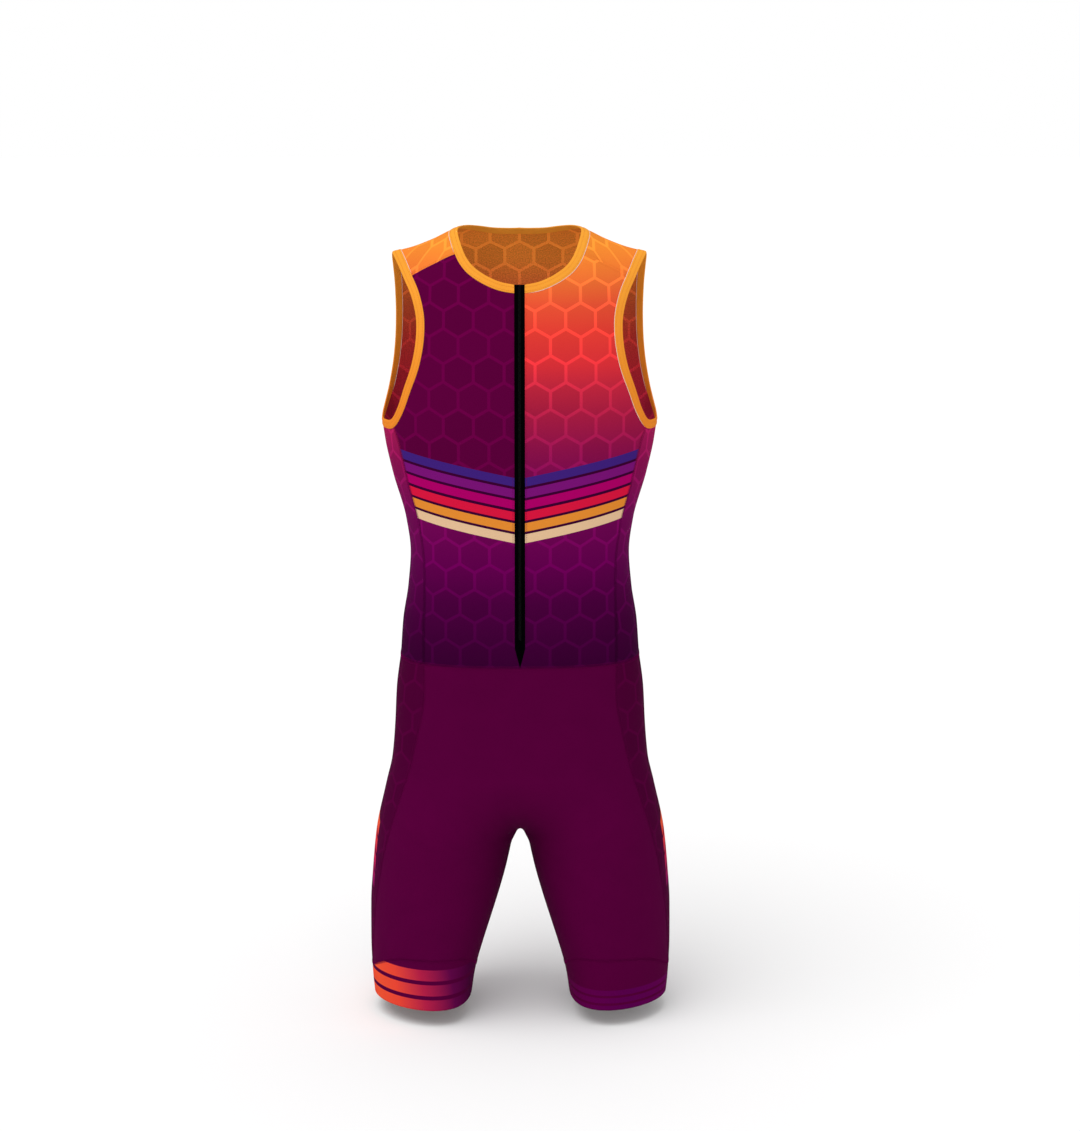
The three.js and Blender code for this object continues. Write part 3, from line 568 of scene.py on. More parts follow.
class Knit:
    # a material and short ways to add nodes to its tree
    def __init__(self, name, kind="knit"):
        self.made = bpy.data.materials.new(name)
        self.made.use_nodes = True
        self.tree = self.made.node_tree
        self.shader = self.tree.nodes["Principled BSDF"]
        dial(self.shader, Roughness=gloss[kind][0], Specular_IOR_Level=gloss[kind][1])

    def feed(self, socket, value):
        if isinstance(value, bpy.types.NodeSocket):
            self.tree.links.new(value, socket)
        elif value is not None:
            socket.default_value = value

    def put(self, kind, *values, out=0, **settings):
        node = self.tree.nodes.new("ShaderNode" + kind)
        for key, value in settings.items():
            setattr(node, key, value)
        for socket, value in zip(node.inputs, values):
            self.feed(socket, value)
        return node.outputs[out]

    def math(self, operation, *values):
        return self.put("Math", *values, operation=operation)

    def product(self, first, *others):
        for other in others:
            first = self.math("MULTIPLY", first, other)
        return first

    def vector(self, operation, *values, out=0):
        return self.put("VectorMath", *values, out=out, operation=operation)

    def place(self):
        return self.split(self.put("TexCoord", out="Object"))

    def flat(self):
        return self.put("UVMap", uv_map="Cut")

    def split(self, value):
        return self.put("SeparateXYZ", value, out=slice(0, 3))

    def mix(self, share, a, b, kind="MIX"):
        between = (None,) * 5
        return self.put("Mix", share, *between, a, b, out=2, data_type="RGBA", blend_type=kind)

    def range(self, value, low, high, start=0.0, end=1.0, soft=False):
        kind = "SMOOTHSTEP" if soft else "LINEAR"
        return self.put("MapRange", value, low, high, start, end, interpolation_type=kind)

    def ramp(self, share, stops, sharp=False):
        node = self.tree.nodes.new("ShaderNodeValToRGB")
        node.color_ramp.interpolation = "CONSTANT" if sharp else "LINEAR"
        while len(node.color_ramp.elements) < len(stops):
            node.color_ramp.elements.new(0.5)
        for element, (at, colour) in zip(node.color_ramp.elements, sorted(stops, key=lambda s: s[0])):
            element.position = at
            element.color = colour
        self.feed(node.inputs[0], share)
        return node.outputs[0]

    def fade(self, stops, height):
        low, high = stops[0][0] * mm, stops[-1][0] * mm
        share = self.range(height, low, high)
        return self.ramp(share, [((z * mm - low) / (high - low), linear(c)) for z, c in stops])

    def toned(self, colour, grain, low, high, detail=2.0):
        # the colour, darker and lighter by a noise of so many grains in a metre
        noise = self.put("TexNoise", self.flat(), None, grain, detail, 0.5)
        return self.mix(1.0, colour, self.range(noise, 0.3, 0.7, low, high), "MULTIPLY")

    def emboss(self, height, strength, depth):
        bump = self.tree.nodes.new("ShaderNodeBump")
        dial(bump, Strength=strength, Distance=depth)
        self.feed(bump.inputs["Height"], height)
        self.feed(self.shader.inputs["Normal"], bump.outputs[0])

    def cellLines(self):
        # hexagons: each point goes to the nearer of two shifted rectangular lattices, and its distance
        # to the cell's edge is the largest of its projections on the hexagon's three directions
        size, line, soft, step = (cells[k] for k in ("size", "line", "soft", "step"))
        lattice = (size, size * math.sqrt(3), 1)
        half, low = tuple(v / 2 for v in lattice), tuple(-v / 2 for v in lattice)
        flat = self.flat()
        a = self.vector("WRAP", flat, half, low)
        b = self.vector("WRAP", self.vector("ADD", flat, (half[0], half[1], 0)), half, low)
        farA, farB = (self.vector("LENGTH", v, out="Value") for v in (a, b))
        between = (None,) * 3
        local = self.put("Mix", self.math("LESS_THAN", farA, farB), *between, b, a, out=1, data_type="VECTOR")
        x, y, z = self.split(self.vector("ABSOLUTE", local))
        slant = self.math("ADD", self.product(x, 0.5), self.product(y, math.sqrt(3) / 2))
        inner = (size - line) / 2
        edge = self.range(self.math("MAXIMUM", x, slant), inner - soft, inner + soft, soft=True)
        middle = self.vector("ADD", self.vector("SUBTRACT", flat, local), (step / 2, step / 2, 0))
        return edge, self.put("TexWhiteNoise", self.vector("SNAP", middle, (step, step, 1)))

    def finish(self, colour, dark=1.0, side="right"):
        # darkened and speckled, with fine ribs: columns across the cut, loops up it, and a slow unevenness
        # the dark share is the wrong side's darkening: partly the duller reverse of the print, partly painted
        # shade
        if dark != 1.0:
            colour = self.mix(1.0, colour, (dark, dark, dark, 1), "MULTIPLY")
        self.feed(self.shader.inputs["Base Color"], self.toned(colour, *speckle[side], 1.0))
        u, v, w = self.split(self.flat())
        column = self.math("SINE", self.product(u, 2 * math.pi / knitting["pitch"]))
        loop = self.math("SINE", self.product(v, 2 * math.pi / (knitting["pitch"] * knitting["loop"])))
        ground = self.put("TexNoise", self.flat(), None, knitting["grain"], 2.0, 0.5)
        height = self.math("ADD", self.product(column, loop, 0.5), ground)
        self.emboss(height, knitting["strength"], knitting["depth"])
        return self.made


def withCells(knit, colour, amount=1.0):
    # the tone-on-tone cells: a lighter line between them, and each cell a little lighter or darker
    line, tone = knit.cellLines()
    cellTone = knit.range(tone, 0.0, 1.0, 1 - cells["spread"] * amount, 1.0)
    lighter = knit.math("SUBTRACT", 1 + (cells["lighter"] - 1) * amount, cellTone)
    return knit.mix(1.0, colour, knit.math("ADD", knit.product(line, lighter), cellTone), "MULTIPLY")


def chestBands(knit, colour, below):
    # plain bands in a shallow chevron: the height less the slope times the distance from the zip
    x, y, z = knit.place()
    height = knit.math("SUBTRACT", z, knit.product(knit.math("ABSOLUTE", x), chest["slope"]))
    step = chest["band"] + chest["gap"]
    tall = len(ink["chest"]) * step - chest["gap"]
    foot, top = chest["foot"] * mm, (chest["foot"] + tall) * mm
    stops = []
    for k, colourOfBand in enumerate(reversed(ink["chest"])):
        stops.append((k * step / tall, linear(colourOfBand)))
        stops.append(((k * step + chest["band"]) / tall, linear(ink["deep"])))
    bands = knit.ramp(knit.range(height, foot, top), stops[:-1], sharp=True)
    under, over = knit.math("LESS_THAN", height, foot), knit.math("GREATER_THAN", height, top)
    return knit.mix(knit.math("ADD", under, over), bands, knit.mix(under, colour, below))


def fadeKnit(name, stops, dark=1.0, side="right", bands=False, plain=None):
    knit = Knit(name)
    x, y, z = knit.place()
    faded = knit.fade(stops, z)
    celled = withCells(knit, faded if plain is None else linear(plain))
    if bands:
        celled = chestBands(knit, celled, withCells(knit, faded))
    return knit.finish(celled, dark, side)


def plainKnit(name, colour, dark=1.0, side="right"):
    knit = Knit(name, "plain")
    return knit.finish(knit.toned(linear(colour), 30.0, 0.97, 1.03), dark, side)


def sideKnit(name, colour, dark=1.0, side="right"):
    # cells, and one column of plain slanted blocks down the side line
    knit = Knit(name)
    celled = withCells(knit, linear(colour), cells["shorts"])
    u, v, w = knit.split(knit.flat())
    top, tall, step = blocks["top"] * mm, blocks["tall"] * mm, (blocks["tall"] + blocks["gap"]) * mm
    bottom = top - blocks["count"] * step
    slanted = knit.math("SUBTRACT", v, knit.product(u, blocks["slant"]))
    within = knit.math("WRAP", knit.math("SUBTRACT", slanted, top), 0, -step)
    block = knit.product(
        knit.math("GREATER_THAN", within, -tall), knit.math("GREATER_THAN", slanted, bottom),
        knit.math("LESS_THAN", slanted, top),
        knit.math("LESS_THAN", knit.math("ABSOLUTE", u), blocks["half"] * mm),
    )
    painted = knit.ramp(knit.range(v, bottom, top), evenStops(ink["blocks"]))
    return knit.finish(knit.mix(block, celled, painted), dark, side)


def cuffKnit(name, colours, dark=1.0, side="right", kind="warm"):
    # plain bands parallel to the hem, whose colours run from the side line round to the inseam
    knit = Knit(name)
    u, v, w = knit.split(knit.flat())
    plan = cuffBands[kind]
    step, foot = (plan["band"] + plan["gap"]) * mm, (form["hem"] + cuffBands["foot"]) * mm
    within = knit.math("WRAP", knit.math("SUBTRACT", v, foot), step, 0)
    band = knit.product(
        knit.math("LESS_THAN", within, plan["band"] * mm), knit.math("GREATER_THAN", v, foot),
        knit.math("LESS_THAN", v, foot + plan["count"] * step),
    )
    share = knit.range(knit.math("ABSOLUTE", u), 0, cuffBands["round"] * mm)
    painted = knit.ramp(share, evenStops(colours))
    return knit.finish(knit.mix(band, linear(ink["shorts"]), painted), dark, side)


def bandKnit(name, stops):
    # the binding's ribbed knit, a little more yellow towards the shoulders
    knit = Knit(name)
    x, y, z = knit.place()
    return knit.finish(knit.toned(knit.fade(stops, z), 40.0, 0.97, 1.02))


def threadFinish(name, colour):
    # twisted polyester thread: slanted plies in tone and bump, by the thread's own coordinates; a list of
    # colours is a fade that follows the cloth's
    knit = Knit(name, "thread")
    x, y, z = knit.place()
    ground = knit.fade(colour, z) if isinstance(colour, list) else linear(colour)
    u, v, w = knit.split(knit.flat())
    ply = knit.math("SINE", knit.math("ADD", knit.product(u, 2 * math.pi), knit.product(v, 30.0)))
    tone = knit.range(ply, -1.0, 1.0, 0.84, 1.06)
    knit.feed(knit.shader.inputs["Base Color"], knit.mix(1.0, ground, tone, "MULTIPLY"))
    knit.emboss(ply, 0.3, 0.0001)
    return knit.made


def coilNylon(name, colour):
    # smooth dull nylon, with a faint unevenness
    knit = Knit(name, "nylon")
    uneven = knit.put("TexNoise", knit.put("TexCoord", out="Object"), None, 700.0, 2.0, 0.5)
    tone = knit.range(uneven, 0.3, 0.7, 0.9, 1.1)
    knit.feed(knit.shader.inputs["Base Color"], knit.mix(1.0, linear(colour), tone, "MULTIPLY"))
    return knit.made


# each cloth: how it is made, its name, its ink outside and inside, its wrong side, and what else it takes
cloths = {
    "fade": (fadeKnit, "fade knit", "fade", "inside", "torso", {"bands": True}),
    "plum": (fadeKnit, "plum knit", "fade", "inside", "torso", {"bands": True, "plain": ink["plum"]}),
    "back": (fadeKnit, "back knit", "fade", "inside", "back", {}),
    "side": (fadeKnit, "side knit", "side", "inside", "torso", {}),
    "shorts": (plainKnit, "shorts knit", "shorts", "shorts", "shorts", {}),
    "shortsSide": (sideKnit, "shorts side knit", "shortsSide", "shortsSide", "shorts", {}),
    "cuffWarm": (cuffKnit, "warm cuff knit", "cuffWarm", "cuffWarm", "shorts", {"kind": "warm"}),
    "cuffCool": (cuffKnit, "cool cuff knit", "cuffCool", "cuffCool", "shorts", {"kind": "cool"}),
}
finishes = {
    "band": bandKnit("band knit", ink["band"]),
    "zip": plainKnit("zip tape", ink["black"]),
    "pale": plainKnit("pale cloth edge", ink["pale"]),
    "coil": coilNylon("zip coil nylon", ink["coil"]),
}
insides = {}
for key, (maker, name, outside, inside, wrong, more) in cloths.items():
    finishes[key] = maker(name, ink[outside], **more)
    insides[key] = maker(name + " inside", ink[inside], *wrongSideAndShade[wrong], **more)
threads = {
    "Plum": "threadPlum", "Shorts": "threadShorts", "Band": "threadBand", "Fade": "fade", "Side": "side",
}
for key, colour in threads.items():
    finishes["thread" + key] = threadFinish(key.lower() + " thread", ink[colour])
print("finishes made")

# torso panels
acrossShares = shares(mesh["across"])


def rowShares(count):
    return shares(count * mesh["fine"])


frontGrid = torsoPatch(
    np.vstack([zipEdge, neckFrontSeam[1:]]), np.vstack([sideFront, armFrontSeam[1:]]),
    waistFront, shoulderSeam, acrossShares, rowShares(20),
)
backGrid = torsoPatch(
    np.vstack([backMiddle, neckBackSeam[::-1][1:]]), np.vstack([sideBack, armOverSeam[::-1][1:]]),
    waistBack, shoulderSeam, acrossShares, rowShares(24),
)
sideGrid = torsoPatch(
    sideFront, sideBack, waistSide, armUnderSeam[::-1], shares(mesh["sideAcross"]), rowShares(10),
)
dented(layFlat(frontGrid), top=cut["shoulderDent"])
overNeck = (rowShares(24) > 15 / 24)[:, None]
dented(layFlat(backGrid, over=True), left=overNeck, top=cut["shoulderDent"])
dented(layByRows(sideGrid, len(sideGrid["p"][0]) // 2))
panels = {
    "front_left": ([frontGrid], "fade", "front_left"),
    "front_right": ([mirror(frontGrid)], "plum", "front_right"),
    "back": ([backGrid, mirror(backGrid)], "back", "back"),
    "side_left": ([sideGrid], "side", "side_panels"),
    "side_right": ([mirror(sideGrid)], "side", "side_panels"),
}
print("torso panels shaped")


def shortsRows():
    # heights from the waist to the crotch, closer near it, then shares of the way down to the cuff
    hip = form["waist"] + (form["crotch"] - form["waist"]) * (1 - (1 - shares(56)) ** 1.5)
    leg = shares(52) ** 1.4
    return hip, leg[1:]


def cuffTop(share):
    rise = cut["cuffRise"] * (1 - np.cos(np.pi * share) ** 4)
    return form["hem"] + cut["cuffHeight"] + rise


def shortsGrid(side, columns, fromSeam):
    # a column keeps its share between the middle and the side seam, which moves with the height
    hip, leg = shortsRows()
    z = np.concatenate([hip, np.full(len(leg), float(form["crotch"]))])[:, None] + 0 * columns
    level = np.concatenate([np.zeros(len(hip)), leg])[:, None]
    for turn in range(8):
        seam = shortsSeamAt(z)[..., 0 if side < 0 else 1]
        share = seam + (1 - seam) * columns if fromSeam else seam * columns**1.15
        z = np.where(level > 0, form["crotch"] + (cuffTop(share) - form["crotch"]) * level, z)
    return {"p": shortsPlace(share, z, side), "n": shortsNormal(share, z, side), "share": share}


def besideGrid(front, back):
    # two grids that meet at the side line, as one: seam, side line, seam
    return {k: np.concatenate([front[k], back[k][:, ::-1][:, 1:]], 1) for k in ("p", "n", "share")}


legColumns = shares(mesh["legAcross"])
shortsFront, shortsBack = (shortsGrid(side, legColumns, False) for side in (-1, 1))
sideColumns = np.unique(np.concatenate([np.linspace(0, 1, 21), np.array(mesh["close"]) / 20]))
shortsSide = besideGrid(shortsGrid(-1, sideColumns, True), shortsGrid(1, sideColumns, True))
for grid in (shortsFront, shortsBack):
    # below the crotch the inner edge is sewn too
    sewn = smooth((form["crotch"] - grid["p"][:, :1, 2]) / 12)
    dented(layByRows(grid, 0), left=sewn)
dented(layByRows(shortsSide, len(sideColumns) - 1))


def cuffGrid():
    # all round one leg, from the seam above it down to the hem
    columns = np.linspace(0, 1, 72)
    down = np.concatenate([[0, 0.02, 0.045, 0.09], np.linspace(0.13, 0.97, 14), [1]])[:, None]
    parts = []
    for side, share in ((-1, columns), (1, columns[::-1])):
        top = cuffTop(share)
        z = top + (form["hem"] - top) * down
        parts.append({"p": shortsPlace(share + 0 * z, z, side), "n": shortsNormal(share + 0 * z, z, side)})
    return {k: np.concatenate([parts[0][k], parts[1][k][:, 1:]], 1) for k in ("p", "n")}


cuff = dented(layByRows(cuffGrid(), 71), left=0, right=0, top=0)
shortsPanels = {
    "shorts_front": ([shortsFront, mirror(shortsFront)], "shorts", "shorts"),
    "shorts_back": ([shortsBack, mirror(shortsBack)], "shorts", "shorts"),
    "shorts_side_left": ([shortsSide], "shortsSide", "shorts_sides"),
    "shorts_side_right": ([{**mirror(shortsSide), "uv": shortsSide["uv"]}], "shortsSide", "shorts_sides"),
    "cuff_left": ([cuff], "cuffCool", "cuff_left"),
    "cuff_right": ([mirror(cuff)], "cuffWarm", "cuff_right"),
}
print("shorts shaped")

for name, (grids, finish, slot) in {**panels, **shortsPanels}.items():
    settle(clothShell(name + "_cloth", grids, finishes[finish], insides[finish]), name)

# binding round the neck and armholes: mm above the form, thickness, and how square its corners are
binding = {"rise": 0.55, "thick": 1.8, "squareAcross": 0.3, "squareUp": 0.62, "around": 24}


def bandGrid(seam, edge, capped):
    # a rounded bar along the path: a power of the cosine runs from the seam to the edge and back, and a
    # power of the sine lifts it over the form and under it
    turn = np.linspace(0, 2 * np.pi, binding["around"] + 1)
    share = 0.5 - 0.5 * np.sign(np.cos(turn)) * np.abs(np.cos(turn)) ** binding["squareAcross"]
    half = binding["thick"] / 2
    lift = binding["rise"] - half + half * np.sign(np.sin(turn)) * np.abs(np.sin(turn)) ** binding["squareUp"]
    base = ontoTorso(seam[:, None] + (edge - seam)[:, None] * share[:, None])
    normals = torsoNormal(base)
    p = base + normals * lift[:, None]
    middle = p[:, :-1].mean(1, keepdims=True)
    if capped:
        # the end at the zip closes in two steps
        round0 = middle[:1] + (p[:1] - middle[:1]) * 0.8
        p = np.concatenate([middle[:1] + 0 * p[:1], round0, p])
        middle = np.concatenate([middle[:1], middle[:1], middle])
    n = unit(p - middle)
    if capped:
        n[0] = n[1]
    grid = layByRows({"p": p, "n": n, "dent": np.zeros(p.shape[:2])}, 0)
    far = np.concatenate([[0], np.cumsum(np.linalg.norm(np.diff(middle[:, 0], axis=0), axis=1))])
    grid["uv"] = np.stack([grid["uv"][..., 0], far[:, None] * mm + 0 * p[..., 0]], -1)
    return grid


neckBand = bandGrid(neckSeam, neckEdge, True)
armBand = bandGrid(armSeam, armEdge, False)
bands = {
    "neck_band": [neckBand, mirror(neckBand)],
    "armhole_band_left": [armBand],
    "armhole_band_right": [mirror(armBand)],
}
for name, grids in bands.items():
    settle(solidPiece(name + "_binding", grids, finishes["band"]), name)

# zip tapes: columns from the middle to the seam, rows from the point up to the neck edge
tapeZ = np.concatenate([zipZ, np.linspace(neckSeam[0, 2], neckEdge[0, 2], 6)[1:]])
tapeHalf = np.minimum((tapeZ - tapeZ[0]) / (cut["zipPoint"] - form["waist"]), 1) * cut["zipHalf"]
tapeP = torsoSpot(tapeHalf[:, None] * shares(8), tapeZ[:, None], -1)
tape = dented(layByRows({"p": tapeP, "n": torsoNormal(tapeP)}, 0), left=0, bottom=0, top=0)
for name, grids in {"zip_tape_left": [tape], "zip_tape_right": [mirror(tape)]}.items():
    settle(clothShell(name + "_cloth", grids, finishes["zip"], finishes["zip"], rise=0.25), name)
print("bands and tapes made")

# sewing in mm: stitch length, distance of a needle row from its seam, thread thickness, height of its middle
# over the cloth, height of the cover thread over the seam, how deep its ends sink; then shares: how much of a
# stitch shows, and where along it the thread is full
sewing = {
    "pitch": 2.5, "row": 2.2, "thread": 0.36, "over": 0.08, "cover": 0.24, "sink": 0.2, "fill": 0.84,
    "full": (0.18, 0.82), "zipRow": 1.8, "bandRows": (0.2, 0.66),
}


def borderLine(grid, edge, far, part=None):
    # the line a set distance in from a border of a grid, by lengths along its cells: rows of place and normal
    p, n = grid["p"], grid["n"]
    if edge in ("bottom", "top"):
        p, n = p.swapaxes(0, 1), n.swapaxes(0, 1)
    if edge in ("right", "top"):
        p, n = p[:, ::-1], n[:, ::-1]
    if part is not None:
        p, n = p[part], n[part]
    gone = np.linalg.norm(np.diff(p, axis=1), axis=2)
    gone = np.concatenate([np.zeros((len(p), 1)), np.cumsum(gone, 1)], 1)
    at = np.clip((gone < far).sum(1), 1, p.shape[1] - 1)
    row = np.arange(len(p))
    before, after = gone[row, at - 1], gone[row, at]
    share = np.clip((far - before) / np.maximum(after - before, 1e-6), 0, 1)[:, None]
    place = p[row, at - 1] * (1 - share) + p[row, at] * share
    return np.hstack([place, unit(n[row, at - 1] * (1 - share) + n[row, at] * share)])


def stepsAlong(line, pitch):
    return max(2, round(np.linalg.norm(np.diff(line[:, :3], axis=0), axis=1).sum() / pitch))


def needleRow(line, over=sewing["over"]):
    # straight stitches end to end along a line: start, end and normal of each
    line = evenly(line, stepsAlong(line, sewing["pitch"]))
    place, lean = line[:, :3] + unit(line[:, 3:]) * over, unit(line[:, 3:])
    gap = (place[1:] - place[:-1]) * (1 - sewing["fill"]) / 2
    return np.stack([place[:-1] + gap, place[1:] - gap, lean[:-1]], 1)


def coverThread(a, b):
    # one thread that crosses the seam to and fro, from the needle row on one side to the row on the other
    count = stepsAlong(a, sewing["pitch"])
    a, b = evenly(a, 2 * count), evenly(b, 2 * count)
    first = np.concatenate([a[:-1:2], b[1::2]])
    then = np.concatenate([b[1::2], a[2::2]])
    lean = unit(first[:, 3:] + then[:, 3:])
    over = lean * sewing["cover"]
    return np.stack([first[:, :3] + over, then[:, :3] + over, lean], 1)


def seam(a, edgeA, b, edgeB, partA=None, partB=None):
    # a flat seam between two borders: a needle row on each side and the thread that covers it
    a, b = borderLine(a, edgeA, row, partA), borderLine(b, edgeB, row, partB)
    return np.concatenate([needleRow(a), needleRow(b), coverThread(a, b)])


def mirrored(threads):
    return threads * (-1, 1, 1)


def bothSides(threads):
    return np.concatenate([threads, mirrored(threads)])


def spindles(name, threads, thick, finish):
    # each stitch is a closed spindle: a tip, a square ring at each of the two full shares, and a tip
    start, end, lean = threads[:, 0], threads[:, 1], threads[:, 2]
    ahead = unit(end - start)
    side = unit(np.cross(lean, ahead))
    up = np.cross(ahead, side)
    ring = np.stack([side, up, -side, -up], 1) * thick / 2
    span = (end - start)[:, None]
    low, high = (start[:, None] + span * share + ring for share in sewing["full"])
    sink = up * sewing["sink"]
    points = np.concatenate([(start - sink)[:, None], low, high, (end - sink)[:, None]], 1)
    k = np.arange(4)
    after = (k + 1) % 4
    shape = np.concatenate([
        np.stack([1 + k, 1 + after, 5 + after, 5 + k], -1),
        np.stack([0 * k, 1 + after, 1 + k, 1 + k], -1),
        np.stack([0 * k + 9, 5 + k, 5 + after, 5 + after], -1),
    ])
    flat = np.array([(0.5, 0), *((i / 4, share) for share in sewing["full"] for i in k), (0.5, 1)])
    faces = (shape[None] + 10 * np.arange(len(points))[:, None, None]).reshape(-1, 4)
    corners = np.tile(flat[shape], (len(points), 1, 1))
    none, some = np.zeros(len(faces), int), np.ones(len(faces), bool)
    return buildMesh(name, points.reshape(-1, 3), faces, corners, none, some, finish)


row = sewing["row"]
belowArm = {"front": rowShares(20) < 10 / 20 + 1e-6, "back": rowShares(24) < 10 / 24 + 1e-6}
besideZip = (rowShares(20) > 1 / 20) & (rowShares(20) < 15 / 20 - 0.005)
hipRows = len(shortsRows()[0])
waistThreads = np.concatenate([
    seam(frontGrid, "bottom", shortsFront, "bottom"),
    seam(sideGrid, "bottom", shortsSide, "bottom"),
    seam(backGrid, "bottom", shortsBack, "bottom"),
])
sideThreads = np.concatenate([
    seam(frontGrid, "right", sideGrid, "left", belowArm["front"]),
    seam(backGrid, "right", sideGrid, "right", belowArm["back"]),
])
yokeThreads, frontShoulderThreads = (needleRow(borderLine(g, "top", row)) for g in (backGrid, frontGrid))
shortsThreads = np.concatenate([
    seam(shortsFront, "right", shortsSide, "left"),
    seam(shortsBack, "right", shortsSide, "right"),
])
inner = slice(hipRows, None)
inseamThreads = seam(shortsFront, "left", shortsBack, "left", inner, inner)
overCuff = [borderLine(g, "top", row) for g in (shortsFront, shortsSide, shortsBack)]
overCuff = np.vstack([overCuff[0], overCuff[1][1:], overCuff[2][::-1][1:]])
underCuff = borderLine(cuff, "bottom", row)
cuffThreads = np.concatenate([needleRow(underCuff), needleRow(overCuff), coverThread(underCuff, overCuff)])
zipThreads = needleRow(borderLine(frontGrid, "left", sewing["zipRow"], besideZip))


def bandRow(seam, edge, share):
    # a needle row on the binding, at a share of its width
    base = ontoTorso(seam + (edge - seam) * share)
    lean = torsoNormal(base)
    return needleRow(np.hstack([base + lean * binding["rise"], lean]))


neckThreads = np.concatenate([bandRow(neckSeam, neckEdge, share) for share in sewing["bandRows"]])
armThreads = np.concatenate([bandRow(armSeam, armEdge, share) for share in sewing["bandRows"]])
frontThreads = np.concatenate([frontShoulderThreads, zipThreads])
sewn = {
    "waist_stitching": (bothSides(waistThreads), "threadPlum", "shorts"),
    "side_stitching": (bothSides(sideThreads), "threadSide", "side_panels"),
    "shoulder_stitching": (bothSides(yokeThreads), "threadFade", "back"),
    "front_left_stitching": (frontThreads, "threadFade", "front_left"),
    "front_right_stitching": (mirrored(frontThreads), "threadPlum", "front_right"),
    "shorts_side_stitching": (bothSides(shortsThreads), "threadShorts", "shorts_sides"),
    "inseam_stitching": (bothSides(inseamThreads), "threadShorts", "shorts"),
    "cuff_stitching": (bothSides(cuffThreads), "threadShorts", "shorts"),
    "neck_band_stitching": (bothSides(neckThreads), "threadBand", "bands"),
    "armhole_band_stitching": (bothSides(armThreads), "threadBand", "bands"),
}
for name, (threads, finish, slot) in sewn.items():
    settle(spindles(name, threads, sewing["thread"], finishes[finish]))
print("seams sewn:", sum(len(threads) for threads, finish, slot in sewn.values()), "stitches")

# zip coil in mm: one turn, how far a turn reaches from the middle and past it, its thickness, its lift
coil = {"pitch": 1.3, "reach": 1.8, "past": 0.3, "thick": 0.8, "lift": 0.42, "foot": 10, "slope": 0.3}
coilZ = np.arange(cut["zipPoint"] + coil["foot"], neckEdge[0, 2] - 1, coil["pitch"])
turns = []
for way, shift in ((1, 0), (-1, coil["pitch"] / 2)):
    outer = torsoSpot(way * coil["reach"] + 0 * coilZ, coilZ + shift, -1)
    across = torsoSpot(-way * coil["past"] + 0 * coilZ, coilZ + shift + coil["slope"], -1)
    lean = torsoNormal(outer)
    turns.append(np.stack([outer + lean * coil["lift"], across + lean * coil["lift"], lean], 1))
settle(spindles("zip_coil", np.concatenate(turns), coil["thick"], finishes["coil"]))

# the cloth's pale cut edge, which shows as a thin bead where the bindings are sewn on
paleEdge = {"thick": 0.7, "out": 0.32, "lift": 0.1, "within": -1.25, "taper": 6, "around": 6}


def beadGrid(seam, edge, lift=paleEdge["lift"]):
    # a round bead along a seam, on the cloth's side of it, which narrows to a point at both ends
    lean = torsoNormal(seam)
    away = unit(seam - edge)
    away = unit(away - lean * (away * lean).sum(-1, keepdims=True))
    turn = np.linspace(0, 2 * np.pi, paleEdge["around"] + 1)[None, :, None]
    ring = away[:, None] * np.cos(turn) + lean[:, None] * np.sin(turn)
    steps = np.arange(len(seam), dtype=float)
    narrow = np.minimum(np.minimum(steps, steps[::-1]) / paleEdge["taper"], 1)
    radius = (narrow * paleEdge["thick"] / 2)[:, None, None]
    middle = seam + away * paleEdge["out"] + lean * lift
    p = middle[:, None] + ring * radius
    return layByRows({"p": p, "n": ring + 0 * p, "dent": np.zeros(p.shape[:2])}, 0)


neckBead, yokeNeck = beadGrid(neckSeam, neckEdge), mirror(beadGrid(neckSeam[neckCut:], neckEdge[neckCut:]))
armBead = beadGrid(armSeam[: armCuts[1]], armEdge[: armCuts[1]])
yokeArm = mirror(beadGrid(armSeam[slice(*armCuts)], armEdge[slice(*armCuts)]))
behind = slice(armCuts[0] + 4 * mesh["fine"], armCuts[1] + 1)
armWithin = beadGrid(armSeam[behind], armEdge[behind], paleEdge["within"])
paleEdges = {
    "neck_seam_edge": [neckBead, yokeNeck],
    "armhole_seam_edges": [armBead, yokeArm, armWithin, mirror(armWithin)],
}
for name, grids in paleEdges.items():
    settle(solidPiece(name, grids, finishes["pale"]))
print("zip coil and cloth edges made")

# the cut before it is stretched on the wearer: its share of the worn size around and along the body
worn = {"around": 0.88, "along": 0.96, "bandShown": 12, "tapeShown": 10}


def skinArea(grids):
    # half the cross product of the diagonals of each cell, summed
    total = 0
    for g in grids:
        p = g["p"]
        diagonals = np.cross(p[1:, 1:] - p[:-1, :-1], p[1:, :-1] - p[:-1, 1:])
        total += np.linalg.norm(diagonals, axis=-1).sum() / 2
    return total


def lineLength(line):
    return np.linalg.norm(np.diff(line, axis=0), axis=1).sum()


def declareCut(name, width, length, area):
    print(f"{name}: cut {width * 1000:.0f} x {length * 1000:.0f} mm, {area * 1e4:.0f} square cm")


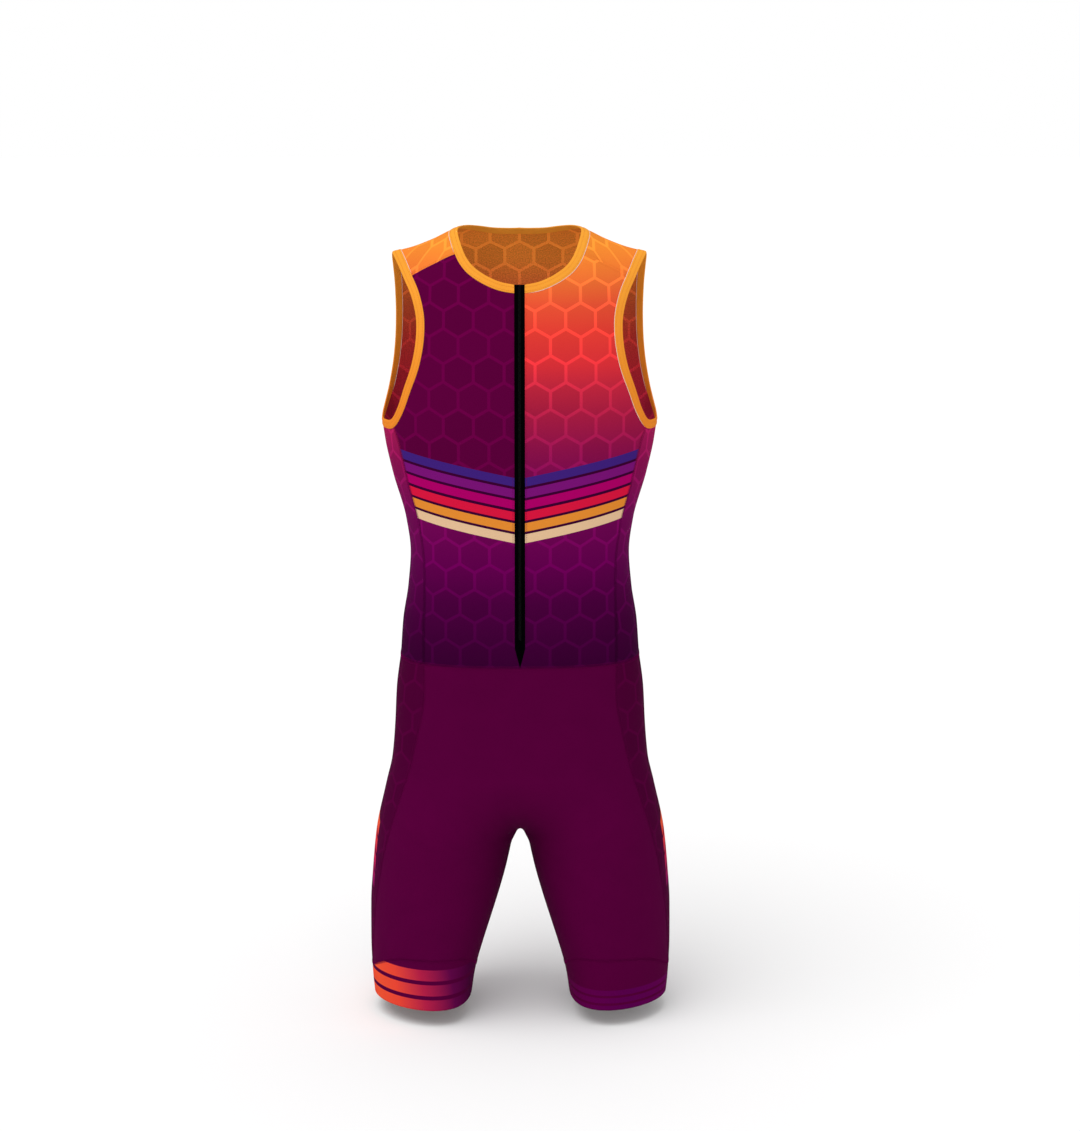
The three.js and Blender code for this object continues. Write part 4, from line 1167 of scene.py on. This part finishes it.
for name, (grids, finish, slot) in {**panels, **shortsPanels}.items():
    flat = np.concatenate([g["uv"].reshape(-1, 2) for g in grids])
    width, length = (float(v) for v in np.ptp(flat, axis=0) * (worn["around"], worn["along"]))
    area = float(skinArea(grids)) * worn["around"] * worn["along"] * mm * mm
    declareCut(name, width, length, min(area, width * length))
bandCuts = {"neck_band": 2 * lineLength(neckSeam), "armhole_band_left": lineLength(armSeam)}
bandCuts["armhole_band_right"] = bandCuts["armhole_band_left"]
for name, length in bandCuts.items():
    width = worn["bandShown"] * mm
    declareCut(name, width, float(length) * mm, width * float(length) * mm)
for name in ("zip_tape_left", "zip_tape_right"):
    length = float(lineLength(tapeP[:, 0])) * mm
    declareCut(name, worn["tapeShown"] * mm, length, float(skinArea([tape])) * mm * mm)

# stage: a pale floor just under the hems, soft light from the viewer's left and a white studio behind
h = stage["half"]
corners = [(x, y, stage["floor"]) for x, y in ((-h, -h), (h, -h), (h, h), (-h, h))]
floorMesh = bpy.data.meshes.new("floor")
floorMesh.from_pydata(corners, [], [(0, 1, 2, 3)])
floor = linked("floor", floorMesh)
paint = bpy.data.materials.new("floor paint")
paint.use_nodes = True
# the floor glows a little, painted light that lifts the shadows under the suit; its white is lowered by as much
white = stage["white"] - stage["shadowLiftGlow"]
painted = paint.node_tree.nodes["Principled BSDF"]
dial(painted, Base_Color=(white, white, white, 1), Roughness=0.9, Specular_IOR_Level=0)
dial(painted, Emission_Color=(1, 1, 1, 1), Emission_Strength=stage["shadowLiftGlow"])
floorMesh.materials.append(paint)

world = bpy.data.worlds.new("studio")
world.use_nodes = True
sky = world.node_tree
seen = sky.nodes.new("ShaderNodeLightPath")
strength = sky.nodes.new("ShaderNodeMapRange")
dial(strength, To_Min=stage["light"], To_Max=1.0)
sky.links.new(seen.outputs["Is Camera Ray"], strength.inputs["Value"])
sky.links.new(strength.outputs[0], sky.nodes["Background"].inputs["Strength"])
dial(sky.nodes["Background"], Color=(1, 1, 1, 1))
bpy.context.scene.world = world
lamp = bpy.data.lights.new("sun", "SUN")
lamp.energy = stage["sun"]
lamp.angle = math.radians(stage["sunSoft"])
sun = linked("sun", lamp)
sun.rotation_euler = (math.radians(90 - stage["sunUp"]), 0, math.radians(stage["sunTurn"]))
glim = bpy.data.lights.new("inner", "POINT")
glim.energy = stage["inner"]
glim.shadow_soft_size = stage["innerRound"]
linked("inner", glim).location = stage["innerPlace"]
bpy.context.scene.view_settings.view_transform = "Standard"
